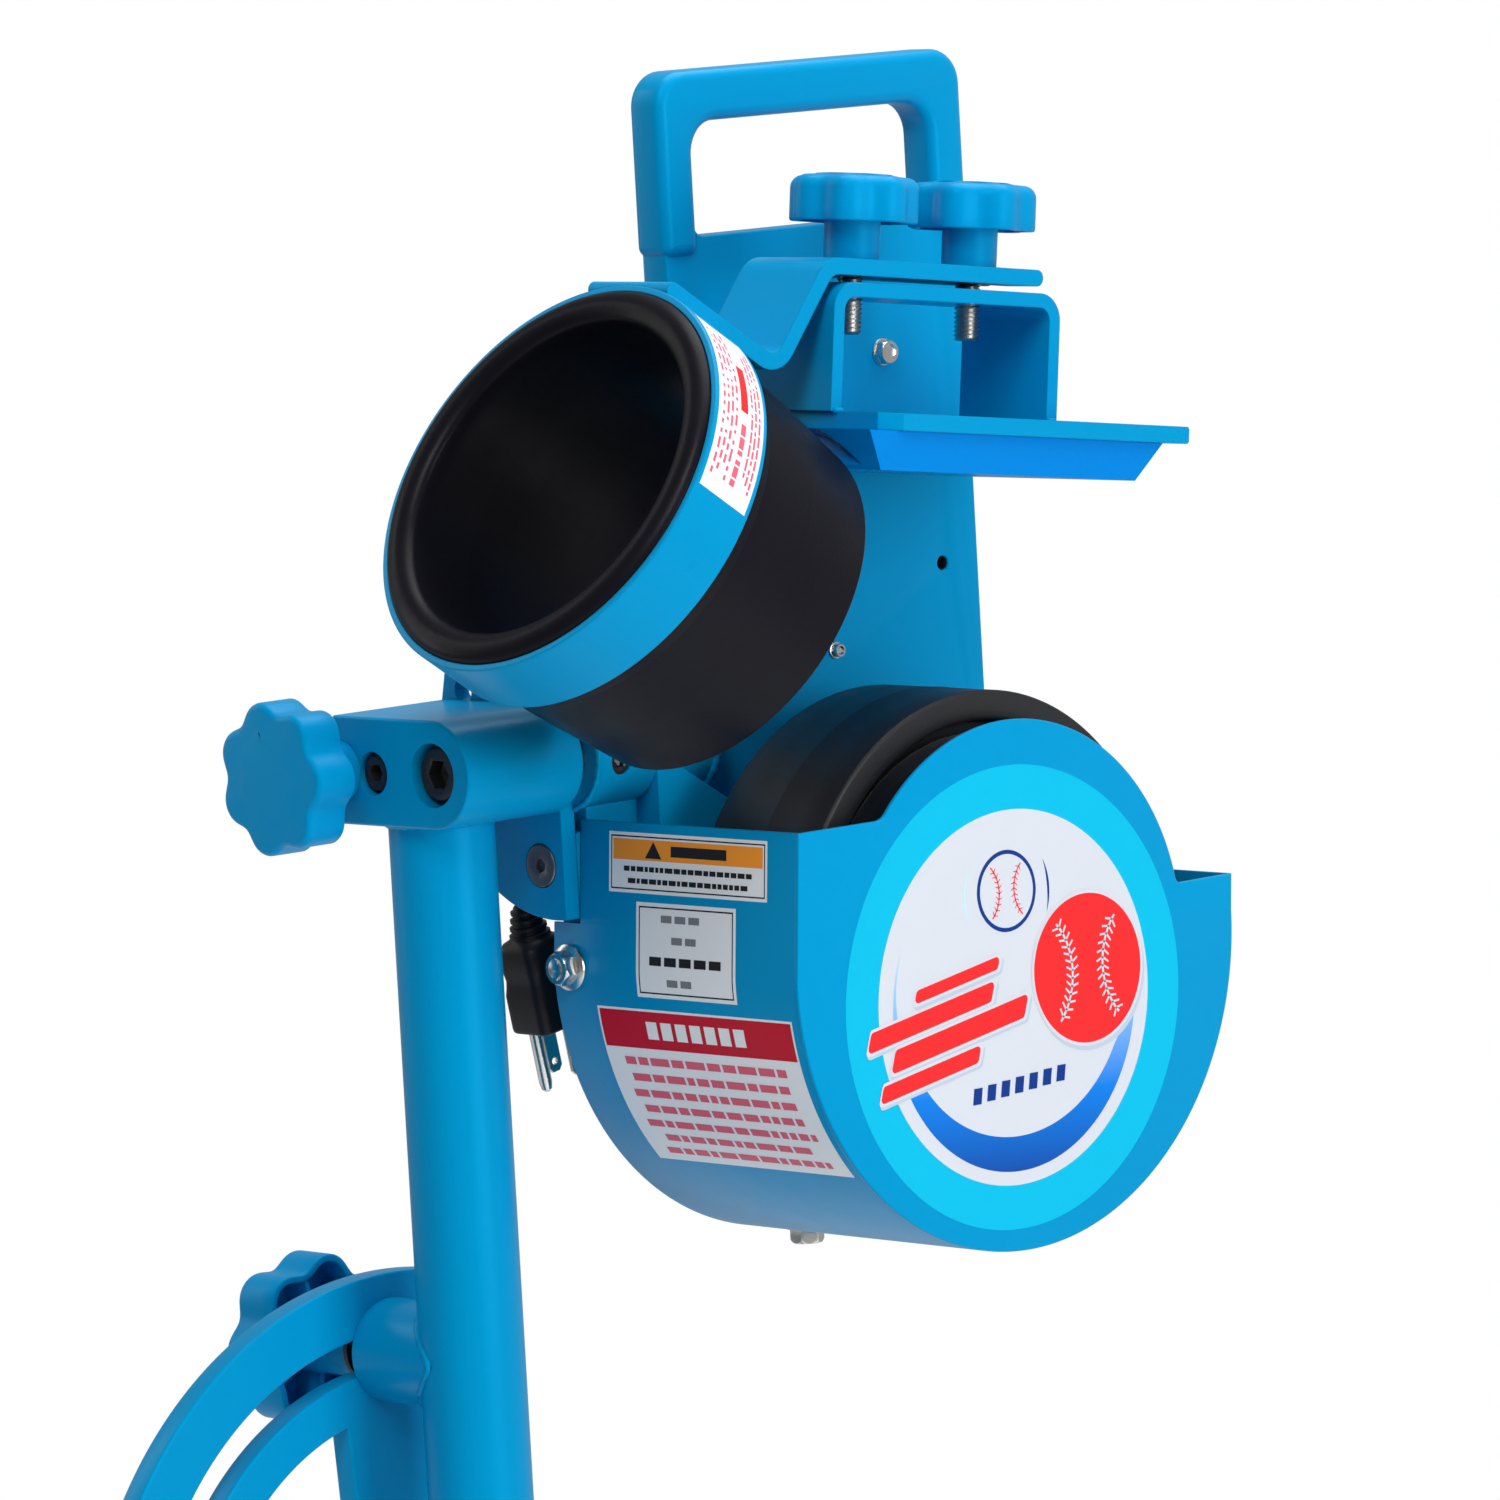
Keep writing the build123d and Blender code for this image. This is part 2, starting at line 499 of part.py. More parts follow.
# ---------------------------------------------------------------- backplate, carrying handle
PLATE_LEFT, PLATE_RIGHT, PLATE_TOP, SHOULDER = -49.0, 99.5, 262.0, 50.0
PLATE_R = 107.0
GRIP = 2.6                            # the handle stands this proud of each plate face
MOTOR_SCREW_PITCH_R, MOTOR_SCREW_R = 27.0, 3.0
LARGE_SCREWS, LARGE_SCREW_R = ((55.8, 207.6), (-10.0, 207.6)), 2.5
SMALL_SCREWS, SMALL_SCREW_R = ((23.9, 100.7), (-10.0, 108.0)), 2.0
BEARING_R = 17.5
GUARD_BOLT_R = 3.0
with BuildPart() as backplate:
    with BuildSketch(HEAD.front(PLATE_Y0)):
        with BuildLine():
            Polyline(
                (PLATE_LEFT, PLATE_TOP), (PLATE_LEFT, SHOULDER), (-102.6, SHOULDER),
                (-PLATE_R, 0),
            )
            ThreePointArc((-PLATE_R, 0), (0, -PLATE_R), (PLATE_R, 0))
            Polyline(
                (PLATE_R, 0), (PLATE_R, 11.0), (PLATE_RIGHT, 22.0), (PLATE_RIGHT, PLATE_TOP),
                (PLATE_LEFT, PLATE_TOP),
            )
        make_face()
    extrude(amount=-PLATE_T)
    # handle loop
    with BuildSketch(HEAD.front(PLATE_Y0 - GRIP)):
        with BuildLine():
            Polyline((-50.5, 258), (102.0, 258), (102.0, 316.9), (-50.5, 316.9), close=True)
        make_face()
        with BuildLine():
            Polyline((-34.0, 250), (84.8, 250), (84.8, 298.0), (-34.0, 298.0), close=True)
        make_face(mode=Mode.SUBTRACT)
    extrude(amount=-(PLATE_T + 2 * GRIP))
    top_corners = backplate.edges().filter_by(Axis.Y).filter_by(
        lambda e: e.center().Z > PIVOT_Z + WHEEL_Z + 285 and e.length > 17
    )
    fillet(top_corners, 11.0)
    with BuildSketch(HEAD.front(PLATE_Y0 - 3.0)):
        with Locations((25.4, 265.0)):
            RectangleRounded(118.8, 17.0, 8.0)
    extrude(amount=-PLATE_T - 6.0, mode=Mode.SUBTRACT)
    handle_edges = backplate.edges().filter_by(
        lambda e: e.center().Z > PIVOT_Z + WHEEL_Z + 259
        and (
            abs(e.center().Y - (PLATE_Y0 - GRIP - MAST_Y)) < 0.01
            or abs(e.center().Y - (PLATE_Y1 + GRIP - MAST_Y)) < 0.01
        )
    )
    # guards the rounding of the handle: if it cannot be made, the edges stay sharp
    try:
        fillet(handle_edges, 4.5)
    except Exception:
        pass
    # thickened foot that the index sector screws to
    with BuildSketch(HEAD.front(PLATE_Y0 + 1.2)):
        with BuildLine():
            Polyline((-107.15, 17.0), (-84.0, 17.0), (-84.0, 49.0), (-107.15, 49.0), close=True)
        make_face()
    extrude(amount=-24.0)
    drill(HEAD.side(-108.0, *SECTOR_SCREW), SECTOR_SCREW_R, 16.0)
    # wheel bearing seat
    drill(HEAD.front(PLATE_Y0), BEARING_R, -PLATE_T)
    # edge holes for the guard bolts
    for plane in guard_bolt_planes(107.5, 107.5, 107.5, -1):
        drill(plane, GUARD_BOLT_R, 15.0)
    # screw holes through the plate and one tapped accessory hole
    with BuildSketch(HEAD.front(PLATE_Y0)):
        with Locations(*LARGE_SCREWS):
            Circle(LARGE_SCREW_R)
        with Locations(*SMALL_SCREWS):
            Circle(SMALL_SCREW_R)
        with Locations((81.2, 127.2)):
            Circle(2.6)
        with PolarLocations(MOTOR_SCREW_PITCH_R, 4, start_angle=45):
            Circle(MOTOR_SCREW_R)
    extrude(amount=-PLATE_T, mode=Mode.SUBTRACT)
save(backplate, "backplate")

# gusset between the head tube and the front of the backplate
GUSSET_Y0 = 101.0
with BuildPart() as tube_gusset:
    with BuildSketch(HEAD.front(GUSSET_Y0)):
        with BuildLine():
            Polyline((-78, 40), (-78, 72), (-72, 72), (-36, 49.0), (-36, 40), close=True)
        make_face()
    extrude(amount=-(PLATE_Y0 - 0.05 - GUSSET_Y0))
    drill(roll_plane(-90.0), HEAD_TUBE_R + FIT, 70.0)
save(tube_gusset, "tube_gusset")

# ---------------------------------------------------------------- wheel guard
# The front sheet is a disc whose upper edge is a dome between two shoulders. x, z in HEAD.
RIM_LEFT, RIM_RIGHT = (-104.6, 53.2), (110.2, 13.4)    # upper ends of the rim
DOME_X, DOME_Z, DOME_R = -0.8, -1.9, 83.7
DOME_LEFT_Z, DOME_RIGHT_Z = 53.0, 13.2
DOME_LEFT = (DOME_X - math.sqrt(DOME_R**2 - (DOME_LEFT_Z - DOME_Z) ** 2), DOME_LEFT_Z)
DOME_RIGHT = (DOME_X + math.sqrt(DOME_R**2 - (DOME_RIGHT_Z - DOME_Z) ** 2), DOME_RIGHT_Z)
RIM_IN = GUARD_R - SHEET
with BuildPart() as wheel_guard:
    with BuildSketch(HEAD.front(0.0)):
        with BuildLine():
            Line(RIM_LEFT, DOME_LEFT)
            ThreePointArc(DOME_LEFT, (DOME_X, DOME_Z + DOME_R), DOME_RIGHT)
            Line(DOME_RIGHT, RIM_RIGHT)
            Line(RIM_RIGHT, (GUARD_R, 0))
            ThreePointArc((GUARD_R, 0), (0, -GUARD_R), (-GUARD_R, 0))
            Line((-GUARD_R, 0), RIM_LEFT)
        make_face()
    extrude(amount=-SHEET)
    for corner, radius in ((DOME_LEFT, 9.0), (DOME_RIGHT, 4.0)):
        middle = Vector(HEAD.point(corner[0], SHEET / 2, corner[1]))
        corner_edges = wheel_guard.edges().filter_by(Axis.Y).filter_by(
            lambda e: (middle - e.center()).length < 1.0
        )
        fillet(corner_edges, radius)
    # rim, open at the top
    with BuildSketch(HEAD.front(0.0)):
        with BuildLine():
            Line(RIM_LEFT, RIM_RIGHT)
            Line(RIM_RIGHT, (GUARD_R, 0))
            ThreePointArc((GUARD_R, 0), (0, -GUARD_R), (-GUARD_R, 0))
            Line((-GUARD_R, 0), RIM_LEFT)
        make_face()
        with BuildLine():
            Line((-102.0, 60.0), (-RIM_IN, 0))
            ThreePointArc((-RIM_IN, 0), (0, -RIM_IN), (RIM_IN, 0))
            Polyline((RIM_IN, 0), (108.4, 60.0), (-102.0, 60.0))
        make_face(mode=Mode.SUBTRACT)
    extrude(amount=-GUARD_DEPTH)
    # notch in the rim at the backplate foot
    with BuildSketch(HEAD.front(114.0)):
        with BuildLine():
            Polyline((-125, 16.0), (-90, 16.0), (-90, 70), (-125, 70), close=True)
        make_face()
    extrude(amount=-30.0, mode=Mode.SUBTRACT)
    # guards the rounding of the front face: if it cannot be made, the edges stay sharp
    try:
        fillet(wheel_guard.faces().sort_by(Axis.Y)[0].edges(), 1.0)
    except Exception:
        pass
    for plane in guard_bolt_planes(112.0, 112.0, 112.0, -1):
        drill(plane, 3.2, 6.0)
save(wheel_guard, "wheel_guard")

with BuildPart() as guard_bolts:
    for plane in guard_bolt_planes(GUARD_R + FIT, GUARD_R + FIT, 109.85, 1):
        disc(plane, 8.5, 1.6)
        hexagon(plane.offset(1.6), 5.5, 5.0)
        disc(plane.offset(-16.0), GUARD_BOLT_R, 16.0)
save(guard_bolts, "guard_bolts")

with BuildPart() as guard_decal:
    disc(HEAD.front(-0.05, -3.7, -17.6), 83.4, 0.25)
save(guard_decal, "guard_decal")

# two labels on the straight part of the -X side, one wrapped round the rim below
with BuildPart() as side_labels:
    lean = math.atan2(GUARD_R + RIM_LEFT[0], RIM_LEFT[1])
    normal = tuple(
        -math.cos(lean) * HEAD.x_axis[i] + math.sin(lean) * HEAD.z_axis[i] for i in range(3)
    )
    label_plane = Plane(origin=HEAD.point(-109.16, 0, 0), x_dir=(0, -1, 0), z_dir=normal)
    with BuildSketch(label_plane.offset(0.02)):
        with Locations((-57.5, 39.5)):
            Rectangle(82.0, 21.5)
        with Locations((-58.5, 13.0)):
            Rectangle(52.0, 25.0)
    extrude(amount=0.2)
    inner_arc = arc_points(GUARD_R + 0.05, 186.5, 236.0)
    outer_arc = arc_points(GUARD_R + 0.25, 186.5, 236.0)
    with BuildSketch(HEAD.front(5.0)):
        with BuildLine():
            ThreePointArc(*inner_arc)
            ThreePointArc(*outer_arc)
            Line(inner_arc[0], outer_arc[0])
            Line(inner_arc[2], outer_arc[2])
        make_face()
    extrude(amount=-100.0)
save(side_labels, "side_labels")

# ---------------------------------------------------------------- wheel
RIM_R, RECESS_R, RECESS_DEPTH = 76.0, 80.6, 9.0
with BuildPart() as tyre:
    disc(HEAD.front(TYRE_Y0), TYRE_R, -(TYRE_Y1 - TYRE_Y0), bore=RIM_R)
    drill(HEAD.front(TYRE_Y0), RECESS_R, -RECESS_DEPTH)
    drill(HEAD.back(TYRE_Y1), RECESS_R, -RECESS_DEPTH)
    fillet(tyre.edges().filter_by(GeomType.CIRCLE).filter_by(lambda e: e.radius > 91), 1.6)
save(tyre, "tyre")

with BuildPart() as wheel_hub:
    disc(HEAD.front(TYRE_Y0 + 6.0), RIM_R, -(TYRE_Y1 - TYRE_Y0 - 12.0), bore=70.0)
    with BuildSketch(HEAD.front(42.0)):
        Circle(71.0)
        with PolarLocations(46.0, 5):
            Circle(11.0, mode=Mode.SUBTRACT)
    extrude(amount=-8.0)
    disc(HEAD.front(28.0), 19.0, -42.0)
    drill(HEAD.front(20.0), SHAFT_R, -70.0)
save(wheel_hub, "wheel_hub")

SHAFT_Y0, SHAFT_Y1 = 14.0, 199.0
with BuildPart() as motor_shaft:
    disc(HEAD.front(SHAFT_Y0), SHAFT_R, -(SHAFT_Y1 - SHAFT_Y0))
    chamfer(motor_shaft.edges().filter_by(GeomType.CIRCLE), 0.8)
save(motor_shaft, "motor_shaft")

with BuildPart() as wheel_nut:
    disc(HEAD.front(27.95), 13.0, 2.0, bore=SHAFT_R)
    hexagon(HEAD.front(25.95), 11.0, 9.0, bore=SHAFT_R)
save(wheel_nut, "wheel_nut")

with BuildPart() as wheel_bearing:
    disc(HEAD.front(PLATE_Y0 + 0.8), BEARING_R, -11.0, bore=SHAFT_R + FIT)
save(wheel_bearing, "wheel_bearing")

# ---------------------------------------------------------------- motor
MOTOR_R = 36.0
BELL_L, CAN_L = 12.0, 60.0
CAN_Y0 = PLATE_Y1 + BELL_L + 0.1
with BuildPart() as motor_front_bell:
    disc(HEAD.front(PLATE_Y1 + 0.05), MOTOR_R, -BELL_L, bore=SHAFT_R + 2.0)
    with BuildSketch(HEAD.front(PLATE_Y1)):
        with PolarLocations(MOTOR_SCREW_PITCH_R, 4, start_angle=45):
            Circle(MOTOR_SCREW_R)
    extrude(amount=-10.0, mode=Mode.SUBTRACT)
save(motor_front_bell, "motor_front_bell")

with BuildPart() as motor_can:
    disc(HEAD.front(CAN_Y0), MOTOR_R, -CAN_L)
    fillet(motor_can.edges().filter_by(GeomType.CIRCLE).sort_by(Axis.Y)[-1], 5.0)
    disc(HEAD.front(CAN_Y0 + CAN_L), 15.0, -5.0)
    drill(HEAD.front(CAN_Y0), MOTOR_R - 3.0, -52.0)
    drill(HEAD.front(CAN_Y0 + 50.0), SHAFT_R + FIT, -12.0)
save(motor_can, "motor_can")

# slotted core with a plain collar behind it
with BuildPart() as motor_armature:
    with BuildSketch(HEAD.front(CAN_Y0 + 8.0)):
        Circle(26.0)
        with PolarLocations(26.0, 12):
            Circle(2.2, mode=Mode.SUBTRACT)
        Circle(SHAFT_R, mode=Mode.SUBTRACT)
    extrude(amount=-32.0)
    disc(HEAD.front(CAN_Y0 + 40.0), 12.0, -8.0, bore=SHAFT_R)
save(motor_armature, "motor_armature")

with BuildPart() as motor_screws:
    for k in range(4):
        plane = HEAD.front(PLATE_Y0 - 0.02, *polar(MOTOR_SCREW_PITCH_R, 45 + 90 * k))
        disc(plane, 5.0, 4.0)
        disc(plane, MOTOR_SCREW_R, -20.0)
save(motor_screws, "motor_screws")

# ---------------------------------------------------------------- control box behind the plate
BOX_LEFT, BOX_RIGHT, BOX_BOTTOM, BOX_TOP = -26.0, 88.0, 92.0, 218.0
BOX_Y0, BOX_Y1 = PLATE_Y1 + 0.05, PLATE_Y1 + 54.0
BOX_X, BOX_Z = (BOX_LEFT + BOX_RIGHT) / 2, (BOX_BOTTOM + BOX_TOP) / 2
BOX_W, BOX_H = BOX_RIGHT - BOX_LEFT, BOX_TOP - BOX_BOTTOM
BOX_WALL = 3.0
DIAL_Z, SWITCH_Z = 170.0, 122.0
CORD_Y, CORD_Z, CORD_R = 152.0, 118.0, 3.5
with BuildPart() as control_box:
    with BuildSketch(HEAD.front(BOX_Y0, BOX_X, BOX_Z)):
        RectangleRounded(BOX_W, BOX_H, 8.0)
    extrude(amount=-(BOX_Y1 - BOX_Y0))
    with BuildSketch(HEAD.front(BOX_Y0 + BOX_WALL, BOX_X, BOX_Z)):
        RectangleRounded(BOX_W - 2 * BOX_WALL, BOX_H - 2 * BOX_WALL, 5.0)
    extrude(amount=-80.0, mode=Mode.SUBTRACT)
    with BuildSketch(HEAD.front(BOX_Y0)):
        with Locations(*LARGE_SCREWS):
            Circle(LARGE_SCREW_R)
        with Locations(*SMALL_SCREWS):
            Circle(SMALL_SCREW_R)
    extrude(amount=-BOX_WALL, mode=Mode.SUBTRACT)
    drill(HEAD.side(BOX_LEFT - 1.0, CORD_Y, CORD_Z), CORD_R + FIT, 6.0)
save(control_box, "control_box")

with BuildPart() as control_cover:
    with BuildSketch(HEAD.back(BOX_Y1 + 0.05, BOX_X, BOX_Z)):
        RectangleRounded(BOX_W, BOX_H, 8.0)
    extrude(amount=3.0)
    fillet(control_cover.faces().sort_by(Axis.Y)[-1].edges(), 1.2)
    drill(HEAD.back(BOX_Y1, BOX_X, DIAL_Z), 4.05, 4.0)
    with BuildSketch(HEAD.back(BOX_Y1, BOX_X, SWITCH_Z)):
        Rectangle(22.2, 30.2)
    extrude(amount=4.0, mode=Mode.SUBTRACT)
save(control_cover, "control_cover")

# board with three round components and one block
BOARD_Y, BOARD_T = BOX_Y0 + 10.0, 1.6
with BuildPart() as circuit_board:
    with BuildSketch(HEAD.front(BOARD_Y, BOX_X, 160.0)):
        Rectangle(92.0, 90.0)
    extrude(amount=-BOARD_T)
    with BuildSketch(HEAD.back(BOARD_Y + BOARD_T, BOX_X, 185.0)):
        with GridLocations(26.0, 1.0, 3, 1):
            Circle(8.0)
        with Locations((26.0, -62.0)):
            Rectangle(24.0, 16.0)
    extrude(amount=17.0)
save(circuit_board, "circuit_board")

DIAL = HEAD.back(BOX_Y1 + 3.2, BOX_X, DIAL_Z)
DIAL_H = 15.0
with BuildPart() as speed_dial:
    with BuildSketch(DIAL):
        with BuildLine():
            Spline(*lobed(16.0, 0.7, 12), periodic=True)
        make_face()
    extrude(amount=DIAL_H)
    dial_rim = speed_dial.edges().filter_by(
        lambda e: abs(DIAL.to_local_coords(e.center()).Z - DIAL_H) < 0.4
    )
    fillet(dial_rim, 1.6)
    disc(DIAL.offset(-3.1), 4.0, 5.0)
save(speed_dial, "speed_dial")

SWITCH = HEAD.back(BOX_Y1 + 3.1, BOX_X, SWITCH_Z)
WELL_W, WELL_H = 17.0, 25.4           # opening for the rocker
SWITCH_W, SWITCH_H, SWITCH_DEPTH = 22.0, 30.0, 22.0
with BuildPart() as switch_bezel:
    with BuildSketch(SWITCH):
        RectangleRounded(27.0, 35.0, 3.0)
        Rectangle(WELL_W, WELL_H, mode=Mode.SUBTRACT)
    extrude(amount=2.0)
    with BuildSketch(SWITCH.offset(-SWITCH_DEPTH)):
        Rectangle(SWITCH_W, SWITCH_H)
        Rectangle(WELL_W, WELL_H, mode=Mode.SUBTRACT)
    extrude(amount=SWITCH_DEPTH)
    with BuildSketch(SWITCH.offset(-SWITCH_DEPTH - 2.0)):
        Rectangle(SWITCH_W, SWITCH_H)
    extrude(amount=2.0)
save(switch_bezel, "switch_bezel")

# y out of the switch, z up
ROCKER_PROFILE = (
    (-6.5, -3.0), (-6.5, 3.0), (1.0, 11.4), (6.2, 11.4), (2.6, 0.0), (4.0, -11.4), (1.0, -11.4),
)
ROCKER_W = 16.0
with BuildPart() as power_rocker:
    rocker_plane = Plane(origin=SWITCH.origin, x_dir=(0, 1, 0), z_dir=HEAD.x_axis)
    with BuildSketch(rocker_plane.offset(-ROCKER_W / 2)):
        with BuildLine():
            Polyline(*ROCKER_PROFILE, close=True)
        make_face()
    extrude(amount=ROCKER_W)
save(power_rocker, "power_rocker")

# ---------------------------------------------------------------- power cord and plug
PLUG = HEAD.child(-101.0, 14.0, 11.0)
PLUG_Y = 150.0
with BuildPart() as power_cord:
    cord_start = (BOX_LEFT + 8.0, CORD_Y, CORD_Z)
    cord_bend = HEAD.point(BOX_LEFT - 12.0, CORD_Y, CORD_Z)
    with BuildLine():
        Line(HEAD.point(*cord_start), cord_bend)
        Spline(
            cord_bend,
            HEAD.point(-76.0, CORD_Y, 92.0),
            HEAD.point(-98.0, PLUG_Y, 52.0),
            PLUG.point(0.0, PLUG_Y, 1.0),
            tangents=[tuple(-v for v in HEAD.x_axis), tuple(-v for v in PLUG.z_axis)],
        )
    with BuildSketch(HEAD.aim(*cord_start, (-1, 0, 0))):
        Circle(CORD_R)
    sweep()
save(power_cord, "power_cord")

with BuildPart() as plug_body:
    disc(PLUG.top(-8.0, 0.0, PLUG_Y), 7.5, 14.0)
    with BuildSketch(PLUG.top(-40.0, 0.0, PLUG_Y)):
        RectangleRounded(21.5, 21.0, 4.5)
    extrude(amount=34.0)
    drill(PLUG.top(0.0, 0.0, PLUG_Y), 4.2, 20.0)
save(plug_body, "plug_body")

# two flat blades with a cross hole each, and one round pin
BLADE_X = 4.0
with BuildPart() as plug_pins:
    for y in (6.35, -6.35):
        with BuildSketch(PLUG.top(-59.0, BLADE_X, PLUG_Y + y)):
            Rectangle(6.3, 1.5)
        extrude(amount=18.95)
    drill(PLUG.front(PLUG_Y - 9.0, BLADE_X, -55.5), 1.6, -18.0)
    disc(PLUG.top(-62.5, -7.0, PLUG_Y), 2.4, 22.45)
save(plug_pins, "plug_pins")

# places, shank radius, hexagon height, flange radius
PLATE_SCREWS = (
    (LARGE_SCREWS, LARGE_SCREW_R, 3.6, 5.1),
    (SMALL_SCREWS, SMALL_SCREW_R, 1.6, 3.3),
)
with BuildPart() as plate_screws:
    for places, shank_r, hex_height, flange_r in PLATE_SCREWS:
        for x, z in places:
            plane = HEAD.front(PLATE_Y0 - 0.02, x, z)
            disc(plane, flange_r, 0.8)
            hexagon(plane.offset(0.8), flange_r - 1.0, hex_height)
            disc(plane, shank_r, -PLATE_T - 3.0)
save(plate_screws, "plate_screws")

# ---------------------------------------------------------------- pressure pad assembly
PAD_PLATE_T = 6.2
with BuildPart() as pad_plate:
    with BuildSketch(PAD.top(-PAD_PLATE_T)):
        with BuildLine():
            Polyline(
                (-47.9, -5.0), (95.3, -5.0), (95.3, 112.9), (-54.5, 112.9), (-54.5, 1.6),
                close=True,
            )
        make_face()
    extrude(amount=PAD_PLATE_T)
    fillet(pad_plate.edges().filter_by(Axis.Y).sort_by(Axis.X)[-2:], 1.2)
save(pad_plate, "pad_plate")

with BuildPart() as pressure_pad:
    with BuildSketch(PAD.front(-3.0)):
        with BuildLine():
            Polyline((-62.5, -6.25), (84.0, -6.25), (70.3, -20.3), (-56.5, -20.3), close=True)
        make_face()
    extrude(amount=-98.0)
    # relief for the end of the chute
    drill(CHUTE.side(20.0, BALL_Y), 70.5, 77.5)
save(pressure_pad, "pressure_pad")

# inverted U channel on the pad plate
CHANNEL_X0, CHANNEL_X1, CHANNEL_H, CHANNEL_T = -57.0, 55.3, 46.0, 5.2
STUD_XS = (-27.8, 30.8)
with BuildPart() as pad_channel:
    with BuildSketch(PAD.front(23.0)) as channel_section:
        inner_x0, inner_x1 = CHANNEL_X0 + CHANNEL_T, CHANNEL_X1 - CHANNEL_T
        inner_top = CHANNEL_H - CHANNEL_T
        with BuildLine():
            Polyline(
                (CHANNEL_X0, 0.05), (CHANNEL_X0, CHANNEL_H), (CHANNEL_X1, CHANNEL_H),
                (CHANNEL_X1, 0.05), close=True,
            )
        make_face()
        with BuildLine():
            Polyline(
                (inner_x0, -1), (inner_x0, inner_top), (inner_x1, inner_top), (inner_x1, -1),
                close=True,
            )
        make_face(mode=Mode.SUBTRACT)
        fillet(channel_section.vertices().group_by(Axis.Y)[-1], 10.0)
        fillet(channel_section.vertices().filter_by(lambda v: abs(v.Y - inner_top) < 0.1), 5.0)
    extrude(amount=-45.0)
    drill(PAD.top(CHANNEL_H + 1.0), STUD_R, -12.0, *((x, BALL_Y) for x in STUD_XS))
save(pad_channel, "pad_channel")

# ---------------------------------------------------------------- ball chute
# slides under the two clamp knobs
with BuildPart() as chute_band:
    disc(CHUTE.side(1.0, BALL_Y), BAND_R, BAND_W, bore=BAND_R - 2.6)
save(chute_band, "chute_band")

# distance along the bore and radius, from the mouth along the outside and back inside
CHUTE_PROFILE = (
    (0.2, 73.5), (30.0, 73.5), (34.0, 71.0), (62.0, 69.0), (95.5, 66.0),
    (95.5, 60.5), (60.0, 62.0), (20.0, 62.0), (8.0, 61.0),
)
with BuildPart() as chute_tube:
    with BuildSketch(CHUTE.front(BALL_Y)):
        with BuildLine():
            Polyline(*CHUTE_PROFILE)
            ThreePointArc(CHUTE_PROFILE[-1], (-3.0, 65.5), CHUTE_PROFILE[0])
        make_face()
    revolve(axis=Axis(CHUTE.point(0, BALL_Y, 0), CHUTE.x_axis))
save(chute_tube, "chute_tube")

STRAP_LINE = ((-132.0, 39.3), (-81.0, 13.8), (-57.5, 51.45), (45.5, 51.45))
STRAP_SLOT_SHIFT = 8.0                # slot centres from the studs
with BuildPart() as chute_strap:
    with BuildSketch(PAD.front(25.5)):
        with BuildLine():
            FilletPolyline(*STRAP_LINE, radius=9.0)
            offset(amount=3.0, side=Side.BOTH)
        make_face()
    extrude(amount=-41.0)
    # clear the band, then the tube beyond it
    drill(CHUTE.side(-20.0, BALL_Y), BAND_R + 0.03, 20.0 + BAND_W + 1.0)
    drill(CHUTE.side(BAND_W, BALL_Y), 74.0, 70.0)
    with BuildSketch(PAD.top(60.0)):
        for x in STUD_XS:
            with Locations((x + STRAP_SLOT_SHIFT, BALL_Y)):
                SlotOverall(31.2, 2 * STUD_R + 0.8)
    extrude(amount=-20.0, mode=Mode.SUBTRACT)
save(chute_strap, "chute_strap")

KNOB_Z, STUD_Z0 = 54.55, 28.0
for name, x in zip(("left", "right"), STUD_XS):
    chute_knob = knob(PAD.top(KNOB_Z, x, BALL_Y), 22.3, 1.4, 16.5, 10.0, 13.5)
    save(chute_knob, f"chute_knob_{name}")

with BuildPart() as chute_studs:
    for x in STUD_XS:
        disc(PAD.top(STUD_Z0, x, BALL_Y), STUD_R, KNOB_Z + 22.0 - STUD_Z0)
save(chute_studs, "chute_studs")

# ---------------------------------------------------------------- locks
ROLL_LOCK = HEAD.aim(HOUSING_X0 - 0.05, LOCK_Y, ROLL_Z, (-1, 0, 0))
save(knob(ROLL_LOCK, 26.2, 1.9, 17.0, 10.8, 17.0, stud_below=54.2), "roll_lock_knob")

TILT_LOCK = MAST.back(QUAD_Y1 + 2.3, 0.0, SLOT_R)
save(knob(TILT_LOCK, 29.8, 2.3, 20.0, 11.5, 24.0, stud_below=36.0), "tilt_lock_knob")

# flanged bushing that runs in the tilt slot
with BuildPart() as tilt_lock_bushing:
    disc(TILT_LOCK.offset(-0.05), 12.7, -2.15, bore=STUD_HOLE_R)
    disc(TILT_LOCK.offset(-2.2), 6.45, -9.9, bore=STUD_HOLE_R)
save(tilt_lock_bushing, "tilt_lock_bushing")
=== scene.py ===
import json
import math

import bmesh
import bpy
import numpy as np
from mathutils import Matrix, Vector


